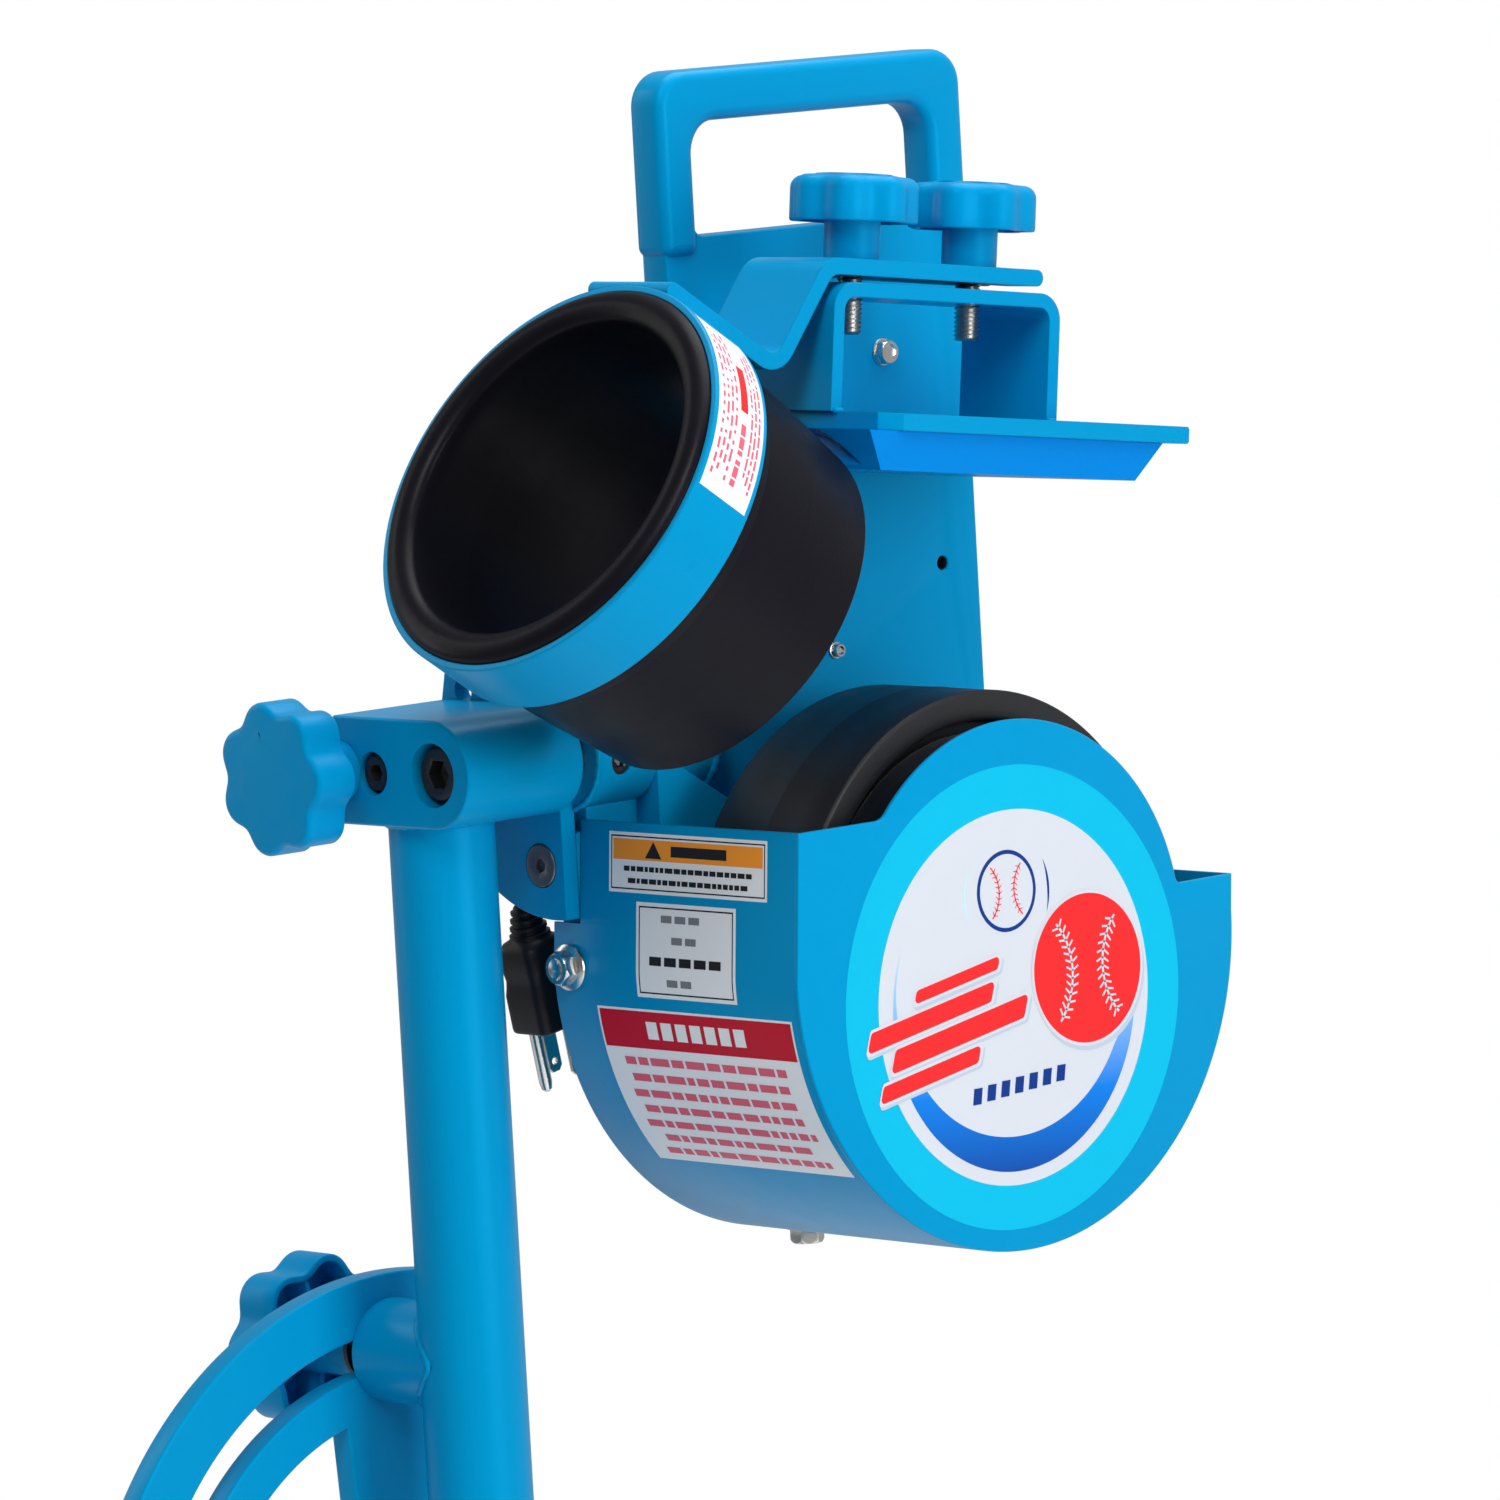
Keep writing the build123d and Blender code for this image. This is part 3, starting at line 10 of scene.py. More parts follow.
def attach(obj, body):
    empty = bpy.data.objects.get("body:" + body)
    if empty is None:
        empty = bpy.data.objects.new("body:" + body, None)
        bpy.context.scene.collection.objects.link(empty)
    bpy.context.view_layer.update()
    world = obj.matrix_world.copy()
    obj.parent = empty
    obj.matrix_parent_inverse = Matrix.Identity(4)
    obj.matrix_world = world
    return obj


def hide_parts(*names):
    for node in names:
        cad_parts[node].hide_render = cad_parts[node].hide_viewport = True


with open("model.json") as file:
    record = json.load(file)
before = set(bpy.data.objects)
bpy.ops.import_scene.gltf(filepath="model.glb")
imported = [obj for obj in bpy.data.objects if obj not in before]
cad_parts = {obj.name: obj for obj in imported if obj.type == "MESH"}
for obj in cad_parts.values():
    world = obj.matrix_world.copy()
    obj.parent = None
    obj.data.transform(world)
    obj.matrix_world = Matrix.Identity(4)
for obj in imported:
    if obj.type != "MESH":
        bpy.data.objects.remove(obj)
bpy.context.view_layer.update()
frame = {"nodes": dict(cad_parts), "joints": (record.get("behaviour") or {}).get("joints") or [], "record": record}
J = {j["name"]: j for j in frame["joints"]}
NODES = frame["nodes"]
Y = Vector((0, 1, 0))


# ------------------------------------------------------------------ frames, from the joints
def basis(origin, ex, ez):
    m = Matrix.Identity(4)
    for i in range(3):
        m[i][0], m[i][1], m[i][2], m[i][3] = ex[i] * 0.001, Y[i] * 0.001, ez[i] * 0.001, origin[i]
    return m


HX = Vector(J["roll"]["axis"]).normalized()
HZ = HX.cross(Y)
WHEEL = Vector(J["wheel_spin"]["pos_m"])
PIVOT = Vector(J["tilt"]["pos_m"])
Y_ZERO = WHEEL.y - 0.046
HEAD = basis((WHEEL.x, Y_ZERO, WHEEL.z), HX, HZ)
MAST = basis((PIVOT.x, Y_ZERO, PIVOT.z), HX, HZ)
STAND = basis((PIVOT.x, Y_ZERO, PIVOT.z), Vector((1, 0, 0)), Vector((0, 0, 1)))
PX = Vector(J["chute_slide"]["axis"]).normalized()
PZ = PX.cross(Y)
KA = Vector(J["chute_knob_a_turn"]["pos_m"])
KB = Vector(J["chute_knob_b_turn"]["pos_m"])
STUD_A = -27.8
po = KA - PX * (STUD_A * 0.001) - PZ * 0.05455
PAD = basis((po.x, Y_ZERO, po.z), PX, PZ)
CH_DROP = math.radians(33.8)
CX = HX * math.cos(CH_DROP) - HZ * math.sin(CH_DROP)
CZ = CX.cross(Y)
lip = HEAD @ Vector((-172.3, 46.0, 184.3))
CHUTE = basis(lip, CX, CZ)          # y is measured from the ball plane here


def at(m, x, y, z):
    return m @ Vector((x, y, z))


def aim(m, x, y, z, d, up=None):
    """A local mm frame at a point: its Z runs along d (given in m's axes)."""
    o = m @ Vector((x, y, z))
    w = (m.to_3x3() @ Vector(d)).normalized()
    u = (m.to_3x3() @ Vector(up)).normalized() if up else (Vector((0, 0, 1)) if abs(w.z) < 0.9 else Vector((1, 0, 0)))
    u = (u - w * u.dot(w)).normalized()
    v = w.cross(u)
    r = Matrix.Identity(4)
    for i in range(3):
        r[i][0], r[i][1], r[i][2], r[i][3] = u[i] * 0.001, v[i] * 0.001, w[i] * 0.001, o[i]
    return r


# ------------------------------------------------------------------ materials
def lin(r, g, b):
    def c(v):
        v /= 255.0
        return v / 12.92 if v <= 0.04045 else ((v + 0.055) / 1.055) ** 2.4

    return (c(r), c(g), c(b), 1.0)


MATS = {}


def material(name, color, rough=0.4, metal=0.0, coat=0.0, coat_rough=0.12, grain=(900.0, 0.04), mottle=0.06,
             rough_var=0.08, bevel=0.0, edge_highlight=None, spec=0.5, tint=None, scratch=0.0):
    """Procedural finish: base colour with mottling, roughness variation, grain bump, a painted highlight along edges
    and fine scratches.
    """
    if name in MATS:
        return MATS[name]
    m = bpy.data.materials.new(name)
    m.use_nodes = True
    nt = m.node_tree
    n, l = nt.nodes, nt.links
    p = n["Principled BSDF"]
    p.inputs["Metallic"].default_value = metal
    p.inputs["Specular IOR Level"].default_value = spec
    if tint:
        p.inputs["Specular Tint"].default_value = tint
    p.inputs["Coat Weight"].default_value = coat
    p.inputs["Coat Roughness"].default_value = coat_rough
    tc = n.new("ShaderNodeTexCoord")
    big = n.new("ShaderNodeTexNoise")
    big.inputs["Scale"].default_value = 14.0
    big.inputs["Detail"].default_value = 5.0
    l.new(tc.outputs["Object"], big.inputs["Vector"])
    ramp = n.new("ShaderNodeMapRange")
    ramp.inputs["To Min"].default_value = 1.0 - mottle
    ramp.inputs["To Max"].default_value = 1.0 + mottle
    l.new(big.outputs["Fac"], ramp.inputs["Value"])
    mul = n.new("ShaderNodeVectorMath")
    mul.operation = "SCALE"
    mul.inputs[0].default_value = color[:3]
    l.new(ramp.outputs["Result"], mul.inputs["Scale"])
    base = mul.outputs["Vector"]
    fine = n.new("ShaderNodeTexNoise")
    fine.inputs["Scale"].default_value = grain[0]
    fine.inputs["Detail"].default_value = 3.0
    l.new(tc.outputs["Object"], fine.inputs["Vector"])
    rr = n.new("ShaderNodeMapRange")
    rr.inputs["To Min"].default_value = max(0.02, rough - rough_var)
    rr.inputs["To Max"].default_value = min(1.0, rough + rough_var)
    mid = n.new("ShaderNodeTexNoise")
    mid.inputs["Scale"].default_value = 55.0
    mid.inputs["Detail"].default_value = 6.0
    l.new(tc.outputs["Object"], mid.inputs["Vector"])
    l.new(mid.outputs["Fac"], rr.inputs["Value"])
    rough_out = rr.outputs["Result"]
    if edge_highlight or bevel:
        bv = n.new("ShaderNodeBevel")
        bv.samples = 4
        bv.inputs["Radius"].default_value = bevel or 0.0006
    # painted highlight: a lighter colour mixed in along edges (bevel normal against true normal), broken up by noise
    if edge_highlight:
        geo = n.new("ShaderNodeNewGeometry")
        dot = n.new("ShaderNodeVectorMath")
        dot.operation = "DOT_PRODUCT"
        l.new(bv.outputs["Normal"], dot.inputs[0])
        l.new(geo.outputs["Normal"], dot.inputs[1])
        edge = n.new("ShaderNodeMapRange")
        edge.inputs["From Min"].default_value = 0.985
        edge.inputs["From Max"].default_value = 0.80
        l.new(dot.outputs["Value"], edge.inputs["Value"])
        brk = n.new("ShaderNodeMapRange")
        brk.inputs["From Min"].default_value = 0.52
        brk.inputs["From Max"].default_value = 0.72
        l.new(mid.outputs["Fac"], brk.inputs["Value"])
        both = n.new("ShaderNodeMath")
        both.operation = "MULTIPLY"
        l.new(edge.outputs["Result"], both.inputs[0])
        l.new(brk.outputs["Result"], both.inputs[1])
        amt = n.new("ShaderNodeMath")
        amt.operation = "MULTIPLY"
        amt.inputs[1].default_value = edge_highlight[1]
        l.new(both.outputs["Value"], amt.inputs[0])
        mix = n.new("ShaderNodeMix")
        mix.data_type = "RGBA"
        l.new(amt.outputs["Value"], mix.inputs["Factor"])
        l.new(base, mix.inputs["A"])
        mix.inputs["B"].default_value = edge_highlight[0]
        base = mix.outputs["Result"]
    l.new(base, p.inputs["Base Color"])
    l.new(rough_out, p.inputs["Roughness"])
    height = fine.outputs["Fac"]
    if scratch:
        mp = n.new("ShaderNodeMapping")
        mp.inputs["Scale"].default_value = (40.0, 40.0, 1800.0)
        l.new(tc.outputs["Object"], mp.inputs["Vector"])
        sc = n.new("ShaderNodeTexNoise")
        sc.inputs["Scale"].default_value = 1.0
        sc.inputs["Detail"].default_value = 2.0
        l.new(mp.outputs["Vector"], sc.inputs["Vector"])
        add = n.new("ShaderNodeMath")
        add.operation = "MULTIPLY_ADD"
        add.inputs[1].default_value = scratch
        l.new(sc.outputs["Fac"], add.inputs[0])
        l.new(fine.outputs["Fac"], add.inputs[2])
        height = add.outputs["Value"]
    bump = n.new("ShaderNodeBump")
    bump.inputs["Strength"].default_value = grain[1]
    bump.inputs["Distance"].default_value = 0.0006
    l.new(height, bump.inputs["Height"])
    if edge_highlight or bevel:
        l.new(bv.outputs["Normal"], bump.inputs["Normal"])
    l.new(bump.outputs["Normal"], p.inputs["Normal"])
    MATS[name] = m
    return m


BLUE = (0.0004, 0.262, 0.53, 1.0)
BLUE_TINT = (0.02, 0.55, 0.95, 1.0)
# the lighter cyan mixed in along the edges of this paint is a painted highlight
paint = material("paint_blue", BLUE, 0.30, coat=0.0, coat_rough=0.12, grain=(1400.0, 0.05), mottle=0.03, rough_var=0.05,
                 edge_highlight=(lin(90, 190, 230), 0.22), spec=0.26, tint=BLUE_TINT)
paint_cad = material("paint_blue_cad", BLUE, 0.30, coat=0.0, coat_rough=0.12, grain=(1400.0, 0.05), mottle=0.03,
                     rough_var=0.05, bevel=0.0008, spec=0.26, tint=BLUE_TINT)
knob_mat = material("knob_blue", (0.0004, 0.255, 0.54, 1.0), 0.36, coat=0.0, grain=(2600.0, 0.10), mottle=0.05, rough_var=0.06,
                    spec=0.26, tint=BLUE_TINT)
pad_mat = material("pad_blue", (0.0004, 0.195, 0.60, 1.0), 0.26, coat=0.0, grain=(700.0, 0.03), mottle=0.03, spec=0.28, tint=(0.02, 0.4, 1.0, 1.0))
tyre_mat = material("tyre_black", (0.012, 0.0125, 0.015, 1.0), 0.44, spec=0.4, grain=(1500.0, 0.22), mottle=0.18, rough_var=0.10)
rubber = material("rubber_black", (0.0050, 0.0050, 0.0084, 1.0), 0.36, spec=0.10, grain=(900.0, 0.09), mottle=0.25, rough_var=0.12)
foot_mat = material("rubber_foot", (0.014, 0.014, 0.014, 1.0), 0.62, grain=(1200.0, 0.25), mottle=0.2)
zinc = material("zinc", (0.66, 0.66, 0.63, 1.0), 0.24, metal=1.0, grain=(1800.0, 0.06), mottle=0.10, rough_var=0.10)
thread_mat = material("thread_zinc", (0.55, 0.54, 0.50, 1.0), 0.28, metal=1.0, grain=(1800.0, 0.06), mottle=0.12, rough_var=0.10)
oxide = material("black_oxide", (0.022, 0.022, 0.024, 1.0), 0.34, metal=0.35, grain=(1600.0, 0.10), mottle=0.2)
steel = material("ground_steel", (0.56, 0.56, 0.56, 1.0), 0.24, metal=1.0, grain=(1500.0, 0.06), mottle=0.08, bevel=0.0004, scratch=1.2)
zinc_cad = material("zinc_cad", (0.62, 0.62, 0.60, 1.0), 0.26, metal=1.0, grain=(1800.0, 0.06), mottle=0.10, rough_var=0.10, bevel=0.0005)
poly = material("bearing_poly", (0.02, 0.02, 0.022, 1.0), 0.5, grain=(1500.0, 0.12), mottle=0.1, bevel=0.0004)
# the cast aluminium colour is kept very dark as painted shade for the recessed wheel hub
alu = material("cast_alu", (0.20, 0.20, 0.205, 1.0), 0.50, metal=1.0, grain=(900.0, 0.22), mottle=0.10, rough_var=0.12, bevel=0.0006)
motor_mat = material("motor_black", (0.012, 0.012, 0.014, 1.0), 0.40, spec=0.3, grain=(900.0, 0.10), mottle=0.10, bevel=0.0008)
lam = material("laminate", (0.30, 0.28, 0.25, 1.0), 0.40, metal=1.0, grain=(900.0, 0.2), mottle=0.2, bevel=0.0003, scratch=2.0)
box_mat = material("box_black", (0.013, 0.013, 0.015, 1.0), 0.55, spec=0.3, grain=(2600.0, 0.35), mottle=0.12, bevel=0.0007)
pcb = material("pcb_green", (0.02, 0.13, 0.045, 1.0), 0.35, coat=0.3, grain=(900.0, 0.1), mottle=0.2)
pvc = material("pvc_black", (0.008, 0.008, 0.010, 1.0), 0.40, spec=0.25, grain=(1200.0, 0.12), mottle=0.15, bevel=0.0007)
switch = material("switch_red", (0.50, 0.02, 0.015, 1.0), 0.28, coat=0.3, grain=(900.0, 0.03), mottle=0.05, bevel=0.0005)
nickel = material("nickel", (0.66, 0.64, 0.60, 1.0), 0.18, metal=1.0, grain=(1800.0, 0.05), mottle=0.08, bevel=0.0003)


def ink(name, c, rough=0.32):
    return material("ink_" + name, c, rough, coat=0.02, coat_rough=0.08, spec=0.14, grain=(1500.0, 0.02), mottle=0.015, rough_var=0.04)


cyan = ink("cyan", lin(0, 176, 214))
white = ink("white", lin(198, 204, 213))
label_white = ink("label_white", lin(226, 230, 234))
red = ink("red", lin(236, 42, 44))
dark_red = ink("dark_red", lin(190, 18, 44))
navy = ink("navy", lin(16, 52, 128))
mid_blue = ink("mid_blue", lin(0, 105, 205))
pale_blue = ink("pale_blue", lin(150, 195, 232))
orange = ink("orange", lin(243, 150, 48))
black_ink = ink("black", lin(34, 34, 38))
grey_ink = ink("grey", lin(120, 124, 130))
pink_ink = ink("pink", lin(214, 96, 116))

SLOT_MAT = {
    "blue_paint": paint_cad, "blue_knob": knob_mat, "pad_urethane": pad_mat, "tyre_rubber": tyre_mat,
    "chute_rubber": rubber, "foot_rubber": foot_mat, "zinc_steel": zinc_cad, "black_oxide": oxide,
    "bright_steel": steel, "bearing_plastic": poly, "cast_aluminium": alu, "motor_paint": motor_mat,
    "armature_steel": lam, "label_film": label_white, "box_plastic": box_mat, "board": pcb,
    "black_plastic": pvc, "switch_red": switch, "pin_nickel": nickel,
}
NODE_SLOT = {s["node"]: s["material_slot"] for s in frame["record"]["subparts"]}
for nm, ob in NODES.items():
    ob.data.materials.clear()
    ob.data.materials.append(SLOT_MAT[NODE_SLOT[nm]])


# ------------------------------------------------------------------ mesh helpers (local mm -> metres)
def finish_mesh(name, me, mat, body, replaces=(), angle=35.0, mat_index=None):
    for m in mat if isinstance(mat, (list, tuple)) else [mat]:
        me.materials.append(m)
    if mat_index is not None and len(mat_index) == len(me.polygons):
        me.polygons.foreach_set("material_index", mat_index)
    me.shade_smooth()
    me.set_sharp_from_angle(angle=math.radians(angle))
    ob = bpy.data.objects.new(name, me)
    bpy.context.scene.collection.objects.link(ob)
    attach(ob, body)
    if replaces:
        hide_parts(*replaces)
    return ob


def from_data(name, verts, faces, M, mat, body, replaces=(), angle=35.0, mat_index=None, weld=0.0):
    me = bpy.data.meshes.new(name)
    me.from_pydata([tuple(v) for v in verts], [], [tuple(f) for f in faces])
    me.transform(M)
    if weld:
        bm = bmesh.new()
        bm.from_mesh(me)
        bmesh.ops.remove_doubles(bm, verts=bm.verts, dist=weld)
        bmesh.ops.recalc_face_normals(bm, faces=bm.faces)
        bm.to_mesh(me)
        bm.free()
    return finish_mesh(name, me, mat, body, replaces, angle, mat_index if isinstance(mat, (list, tuple)) else None)


def loft_data(rings, closed=False, cap0=False, cap1=False):
    """rings: list of (N,3) arrays; each ring is a closed loop."""
    n = len(rings[0])
    V = np.concatenate([np.asarray(r, float) for r in rings])
    F = []
    k = len(rings)
    for i in range(k if closed else k - 1):
        a, b = i * n, ((i + 1) % k) * n
        for j in range(n):
            j2 = (j + 1) % n
            F.append((a + j, a + j2, b + j2, b + j))
    if cap0:
        F.append(tuple(range(n - 1, -1, -1)))
    if cap1:
        F.append(tuple(range((k - 1) * n, k * n)))
    return V, F


def merge(parts):
    V, F, I, o = [], [], [], 0
    for p in parts:
        v, f = p[0], p[1]
        mi = p[2] if len(p) > 2 else 0
        V.append(np.asarray(v, float))
        for q in f:
            F.append(tuple(i + o for i in q))
            I.append(mi)
        o += len(v)
    return np.concatenate(V), F, I


def place(v, M):
    """Applies a mm frame and gives metres; used when one mesh gathers several places."""
    return np.array([tuple(M @ Vector(p)) for p in v])


def ring_c(r, z, n=96):
    a = np.linspace(0, 2 * math.pi, n, endpoint=False)
    return np.stack([r * np.cos(a), r * np.sin(a), np.full(n, z)], 1)


def lathe(profile, n=96):
    """profile of (r, z) pairs; closed when the first point is repeated at the end."""
    closed = profile[0] == profile[-1]
    pts = profile[:-1] if closed else profile
    return loft_data([ring_c(max(r, 0.0005), z, n) for r, z in pts], closed=closed)


def rounded(profile, radii, steps=5):
    """Rounds the corners of an open polyline of 2-D points."""
    out = [profile[0]]
    for i in range(1, len(profile) - 1):
        a, b, c = (np.array(profile[i + k], float) for k in (-1, 0, 1))
        r = radii[i] if isinstance(radii, (list, tuple)) else radii
        if r <= 0:
            out.append(tuple(b))
            continue
        u, w = (a - b), (c - b)
        lu, lw = np.linalg.norm(u), np.linalg.norm(w)
        u, w = u / lu, w / lw
        ang = math.acos(max(-1, min(1, float(u @ w))))
        if ang > math.pi - 0.02:
            out.append(tuple(b))
            continue
        d = min(r / math.tan(ang / 2), lu * 0.49, lw * 0.49)
        rr = d * math.tan(ang / 2)
        cdir = (u + w) / np.linalg.norm(u + w)
        cen = b + cdir * (rr / math.sin(ang / 2))
        p0, p1 = b + u * d, b + w * d
        a0 = math.atan2(*(p0 - cen)[::-1])
        a1 = math.atan2(*(p1 - cen)[::-1])
        da = (a1 - a0 + math.pi) % (2 * math.pi) - math.pi
        for k in range(steps + 1):
            t = a0 + da * k / steps
            out.append((cen[0] + rr * math.cos(t), cen[1] + rr * math.sin(t)))
    out.append(profile[-1])
    return out


def rounded_loop(pts, radii, steps=6):
    n = len(pts)
    radii = radii if isinstance(radii, (list, tuple)) else [radii] * n
    out = []
    for i in range(n):
        tri = [pts[i - 1], pts[i], pts[(i + 1) % n]]
        out += rounded(tri, [0, radii[i], 0], steps)[1:-1]
    return out


def arc(cx, cy, r, a0, a1, n=32):
    return [(cx + r * math.cos(math.radians(a0 + (a1 - a0) * i / n)), cy + r * math.sin(math.radians(a0 + (a1 - a0) * i / n)))
            for i in range(n + 1)]


def plate_data(outer, holes, t, bevel=0.6, res=3, centre=0.0):
    """A flat plate with rounded edges: outline in local X,Y; thickness along local Z, centred."""
    cu = bpy.data.curves.new("tmp", "CURVE")
    cu.dimensions = "2D"
    cu.fill_mode = "BOTH"
    for pts in [outer] + list(holes):
        sp = cu.splines.new("POLY")
        sp.points.add(len(pts) - 1)
        for i, (x, y) in enumerate(pts):
            sp.points[i].co = (x, y, 0, 1)
        sp.use_cyclic_u = True
    cu.extrude = max(t / 2 - bevel, 0.0)
    cu.bevel_depth = bevel
    cu.bevel_resolution = res
    cu.offset = -bevel
    ob = bpy.data.objects.new("tmp", cu)
    bpy.context.scene.collection.objects.link(ob)
    bpy.context.view_layer.update()
    me = bpy.data.meshes.new_from_object(ob.evaluated_get(bpy.context.evaluated_depsgraph_get()))
    V = np.array([tuple(v.co) for v in me.vertices])
    F = [tuple(p.vertices) for p in me.polygons]
    bpy.data.objects.remove(ob)
    bpy.data.curves.remove(cu)
    bpy.data.meshes.remove(me)
    V[:, 2] += centre
    return V, F


def xz(M, y):
    """Local X,Y of a flat outline -> M's X,Z at depth y; local Z runs towards -Y."""
    r = Matrix.Identity(4)
    for i in range(3):
        r[i][0], r[i][1], r[i][2] = M[i][0], M[i][2], -M[i][1]
    o = M @ Vector((0, y, 0))
    for i in range(3):
        r[i][3] = o[i]
    return r


def yz(M, x):
    """Local X,Y -> M's Y,Z at x; local Z runs towards +X."""
    r = Matrix.Identity(4)
    for i in range(3):
        r[i][0], r[i][1], r[i][2] = M[i][1], M[i][2], M[i][0]
    o = M @ Vector((x, 0, 0))
    for i in range(3):
        r[i][3] = o[i]
    return r


def piece(name, parts, M, mat, body, replaces=(), angle=35.0, weld=2e-6):
    V, F, I = merge(parts)
    return from_data(name, V, F, M, mat, body, replaces, angle, I, weld)


# ------------------------------------------------------------------ hardware
def hex_r(theta, af):
    t = (theta + math.pi / 6) % (math.pi / 3) - math.pi / 6
    return af / 2 / math.cos(t)


def hex_ring(af, z, cone=None, n=96, turn=0.0):
    a = np.linspace(0, 2 * math.pi, n, endpoint=False)
    r = np.array([hex_r(t + turn, af) for t in a])
    if cone is not None:
        r = np.minimum(r, cone)
    return np.stack([r * np.cos(a), r * np.sin(a), np.full(n, z)], 1)


def hex_head(af, h, flange=0.0, flange_h=1.6, dish=0.9, z0=0.0, turn=0.0):
    R = []
    if flange:
        R += [ring_c(0.01, z0), ring_c(flange - 0.25, z0), ring_c(flange, z0 + 0.35), ring_c(flange - 0.2, z0 + 0.8),
              ring_c(af * 0.60, z0 + flange_h), ]
        base = z0 + flange_h
    else:
        R += [ring_c(0.01, z0), hex_ring(af, z0, cone=af * 0.565, turn=turn)]
        base = z0 + 0.35
    R += [hex_ring(af - 0.15, base, turn=turn), hex_ring(af, base + 0.3, turn=turn)]
    top = z0 + h
    for k in range(6):
        t = k / 5
        z = top - 1.3 + t * 1.1
        R.append(hex_ring(af, z, cone=af * (0.585 - 0.075 * t), turn=turn))
    R += [ring_c(af * 0.49, top), ring_c(af * 0.36, top), ring_c(af * 0.31, top - 0.45 * dish), ring_c(af * 0.22, top - dish),
          ring_c(0.01, top - dish * 1.1)]
    return loft_data(R)


def socket_head(r, h, af, depth, chamfer=0.7, z0=0.0):
    R = [ring_c(0.01, z0), ring_c(r, z0), ring_c(r, z0 + h - chamfer), ring_c(r - chamfer * 0.3, z0 + h - chamfer * 0.3),
         ring_c(r - chamfer, z0 + h), ring_c(af * 0.64, z0 + h), hex_ring(af * 1.04, z0 + h - 0.25), hex_ring(af, z0 + h - 0.6),
         hex_ring(af, z0 + h - depth), ring_c(0.01, z0 + h - depth - af * 0.2)]
    return loft_data(R)


def thread(r, z0, z1, pitch=1.588, n=40, depth=0.82, chamfer=1.0):
    """A threaded rod along local Z, with a real helix."""
    rows = max(6, int((z1 - z0) / pitch * 8))
    a = np.linspace(0, 2 * math.pi, n, endpoint=False)
    R = []
    for i in range(rows + 1):
        z = z0 + (z1 - z0) * i / rows
        ph = (z / pitch - a / (2 * math.pi)) % 1.0
        tri = np.abs(ph * 2 - 1)
        tri = np.clip(tri * 1.25 - 0.1, 0, 1)
        rr = r - depth * tri
        lim = min(z - z0, z1 - z)
        if lim < chamfer:
            rr = np.minimum(rr, r - depth - 0.3 + (depth + 0.3) * lim / chamfer)
        R.append(np.stack([rr * np.cos(a), rr * np.sin(a), np.full(n, z)], 1))
    return loft_data(R, cap0=True, cap1=True)


def lobes(r0, amp, k, off, n, pinch=0.0):
    a = np.linspace(0, 2 * math.pi, n, endpoint=False)
    c = np.cos(k * a)
    r = r0 + amp * (c + pinch * (c * c - 0.5))
    dr = np.gradient(r, a)
    nx, ny = r * np.cos(a) + dr * np.sin(a), r * np.sin(a) - dr * np.cos(a)
    ln = np.sqrt(nx ** 2 + ny ** 2)
    x, y = r * np.cos(a) - off * nx / ln, r * np.sin(a) - off * ny / ln
    return x, y


def knob_data(r0, amp, head, stem_r, stem_l, k=7, n=168, hollow=True, crown=0.8, cap_r=12.5, rad=4.6, cap=False):
    def lr(off, z, blend=0.0, target=0.0):
        x, y = lobes(r0, amp, k, off, n, -0.22)
        if blend:
            a = np.arctan2(y, x)
            x = x * (1 - blend) + target * np.cos(a) * blend
            y = y * (1 - blend) + target * np.sin(a) * blend
        return np.stack([x, y, np.full(n, z)], 1)

    z0, z1 = stem_l, stem_l + head
    R = [ring_c(0.01, 0.6, n), ring_c(stem_r - 2.2, 0.6, n), ring_c(stem_r - 2.0, 0.0, n), ring_c(stem_r - 0.4, 0.0, n), ring_c(stem_r, 0.4, n)]
    if hollow:
        zc = z1 - 5.2
        R += [ring_c(stem_r + 0.1, z0, n), ring_c(stem_r + 0.2, zc - 1.5, n), ring_c(stem_r + 1.2, zc - 0.3, n)]
        R += [lr(4.4, zc), lr(3.3, zc - 0.6), lr(2.9, zc - 1.8), lr(2.7, z0 + 0.5), lr(2.5, z0 + 0.12), lr(2.1, z0)]
    else:
        R += [ring_c(stem_r, z0 - 2.5, n), ring_c(stem_r + 0.6, z0 - 1.0, n), ring_c(stem_r + 2.2, z0, n), lr(3.0, z0)]
    R += [lr(0.75, z0), lr(0.25, z0 + 0.25), lr(0.0, z0 + 0.8)]
    R += [lr(0.0, z0 + (head - rad) * 0.4), lr(0.0, z1 - rad)]
    for q in range(1, 9):
        t = q / 8 * math.pi / 2
        R.append(lr(rad * (1 - math.cos(t)), z1 - rad + rad * math.sin(t)))
    for q, b in ((6.0, 0.15), (8.5, 0.45)):
        R.append(lr(q, z1 + crown * b, b, cap_r + 2.5))
    R += [ring_c(cap_r + 1.2, z1 + crown * 0.8, n)]
    if cap:
        R += [ring_c(cap_r, z1 + crown * 0.8, n), ring_c(cap_r - 0.5, z1 + crown * 0.8 - 0.45, n), ring_c(cap_r - 1.2, z1 + crown * 0.8 - 0.45, n)]
    R += [ring_c(cap_r - 1.8, z1 + crown * 0.84, n), ring_c(cap_r * 0.4, z1 + crown, n), ring_c(0.01, z1 + crown, n)]
    parts = [loft_data(R)]
    if hollow:
        for i in range(k):
            a = math.pi * (2 * i + 1) / k
            ro = r0 - amp - 1.6
            c, s = math.cos(a), math.sin(a)
            w = 1.0
            xs = [(stem_r - 0.5, w), (ro, w * 0.8), (ro, -w * 0.8), (stem_r - 0.5, -w)]
            lo = [(x * c - y * s, x * s + y * c, z0 + 1.0) for x, y in xs]
            hi = [(x * c - y * s, x * s + y * c, z1 - 4.8) for x, y in xs]
            parts.append((np.array(lo + hi), [(3, 2, 1, 0), (0, 1, 5, 4), (1, 2, 6, 5), (2, 3, 7, 6), (3, 0, 4, 7)]))
    return parts


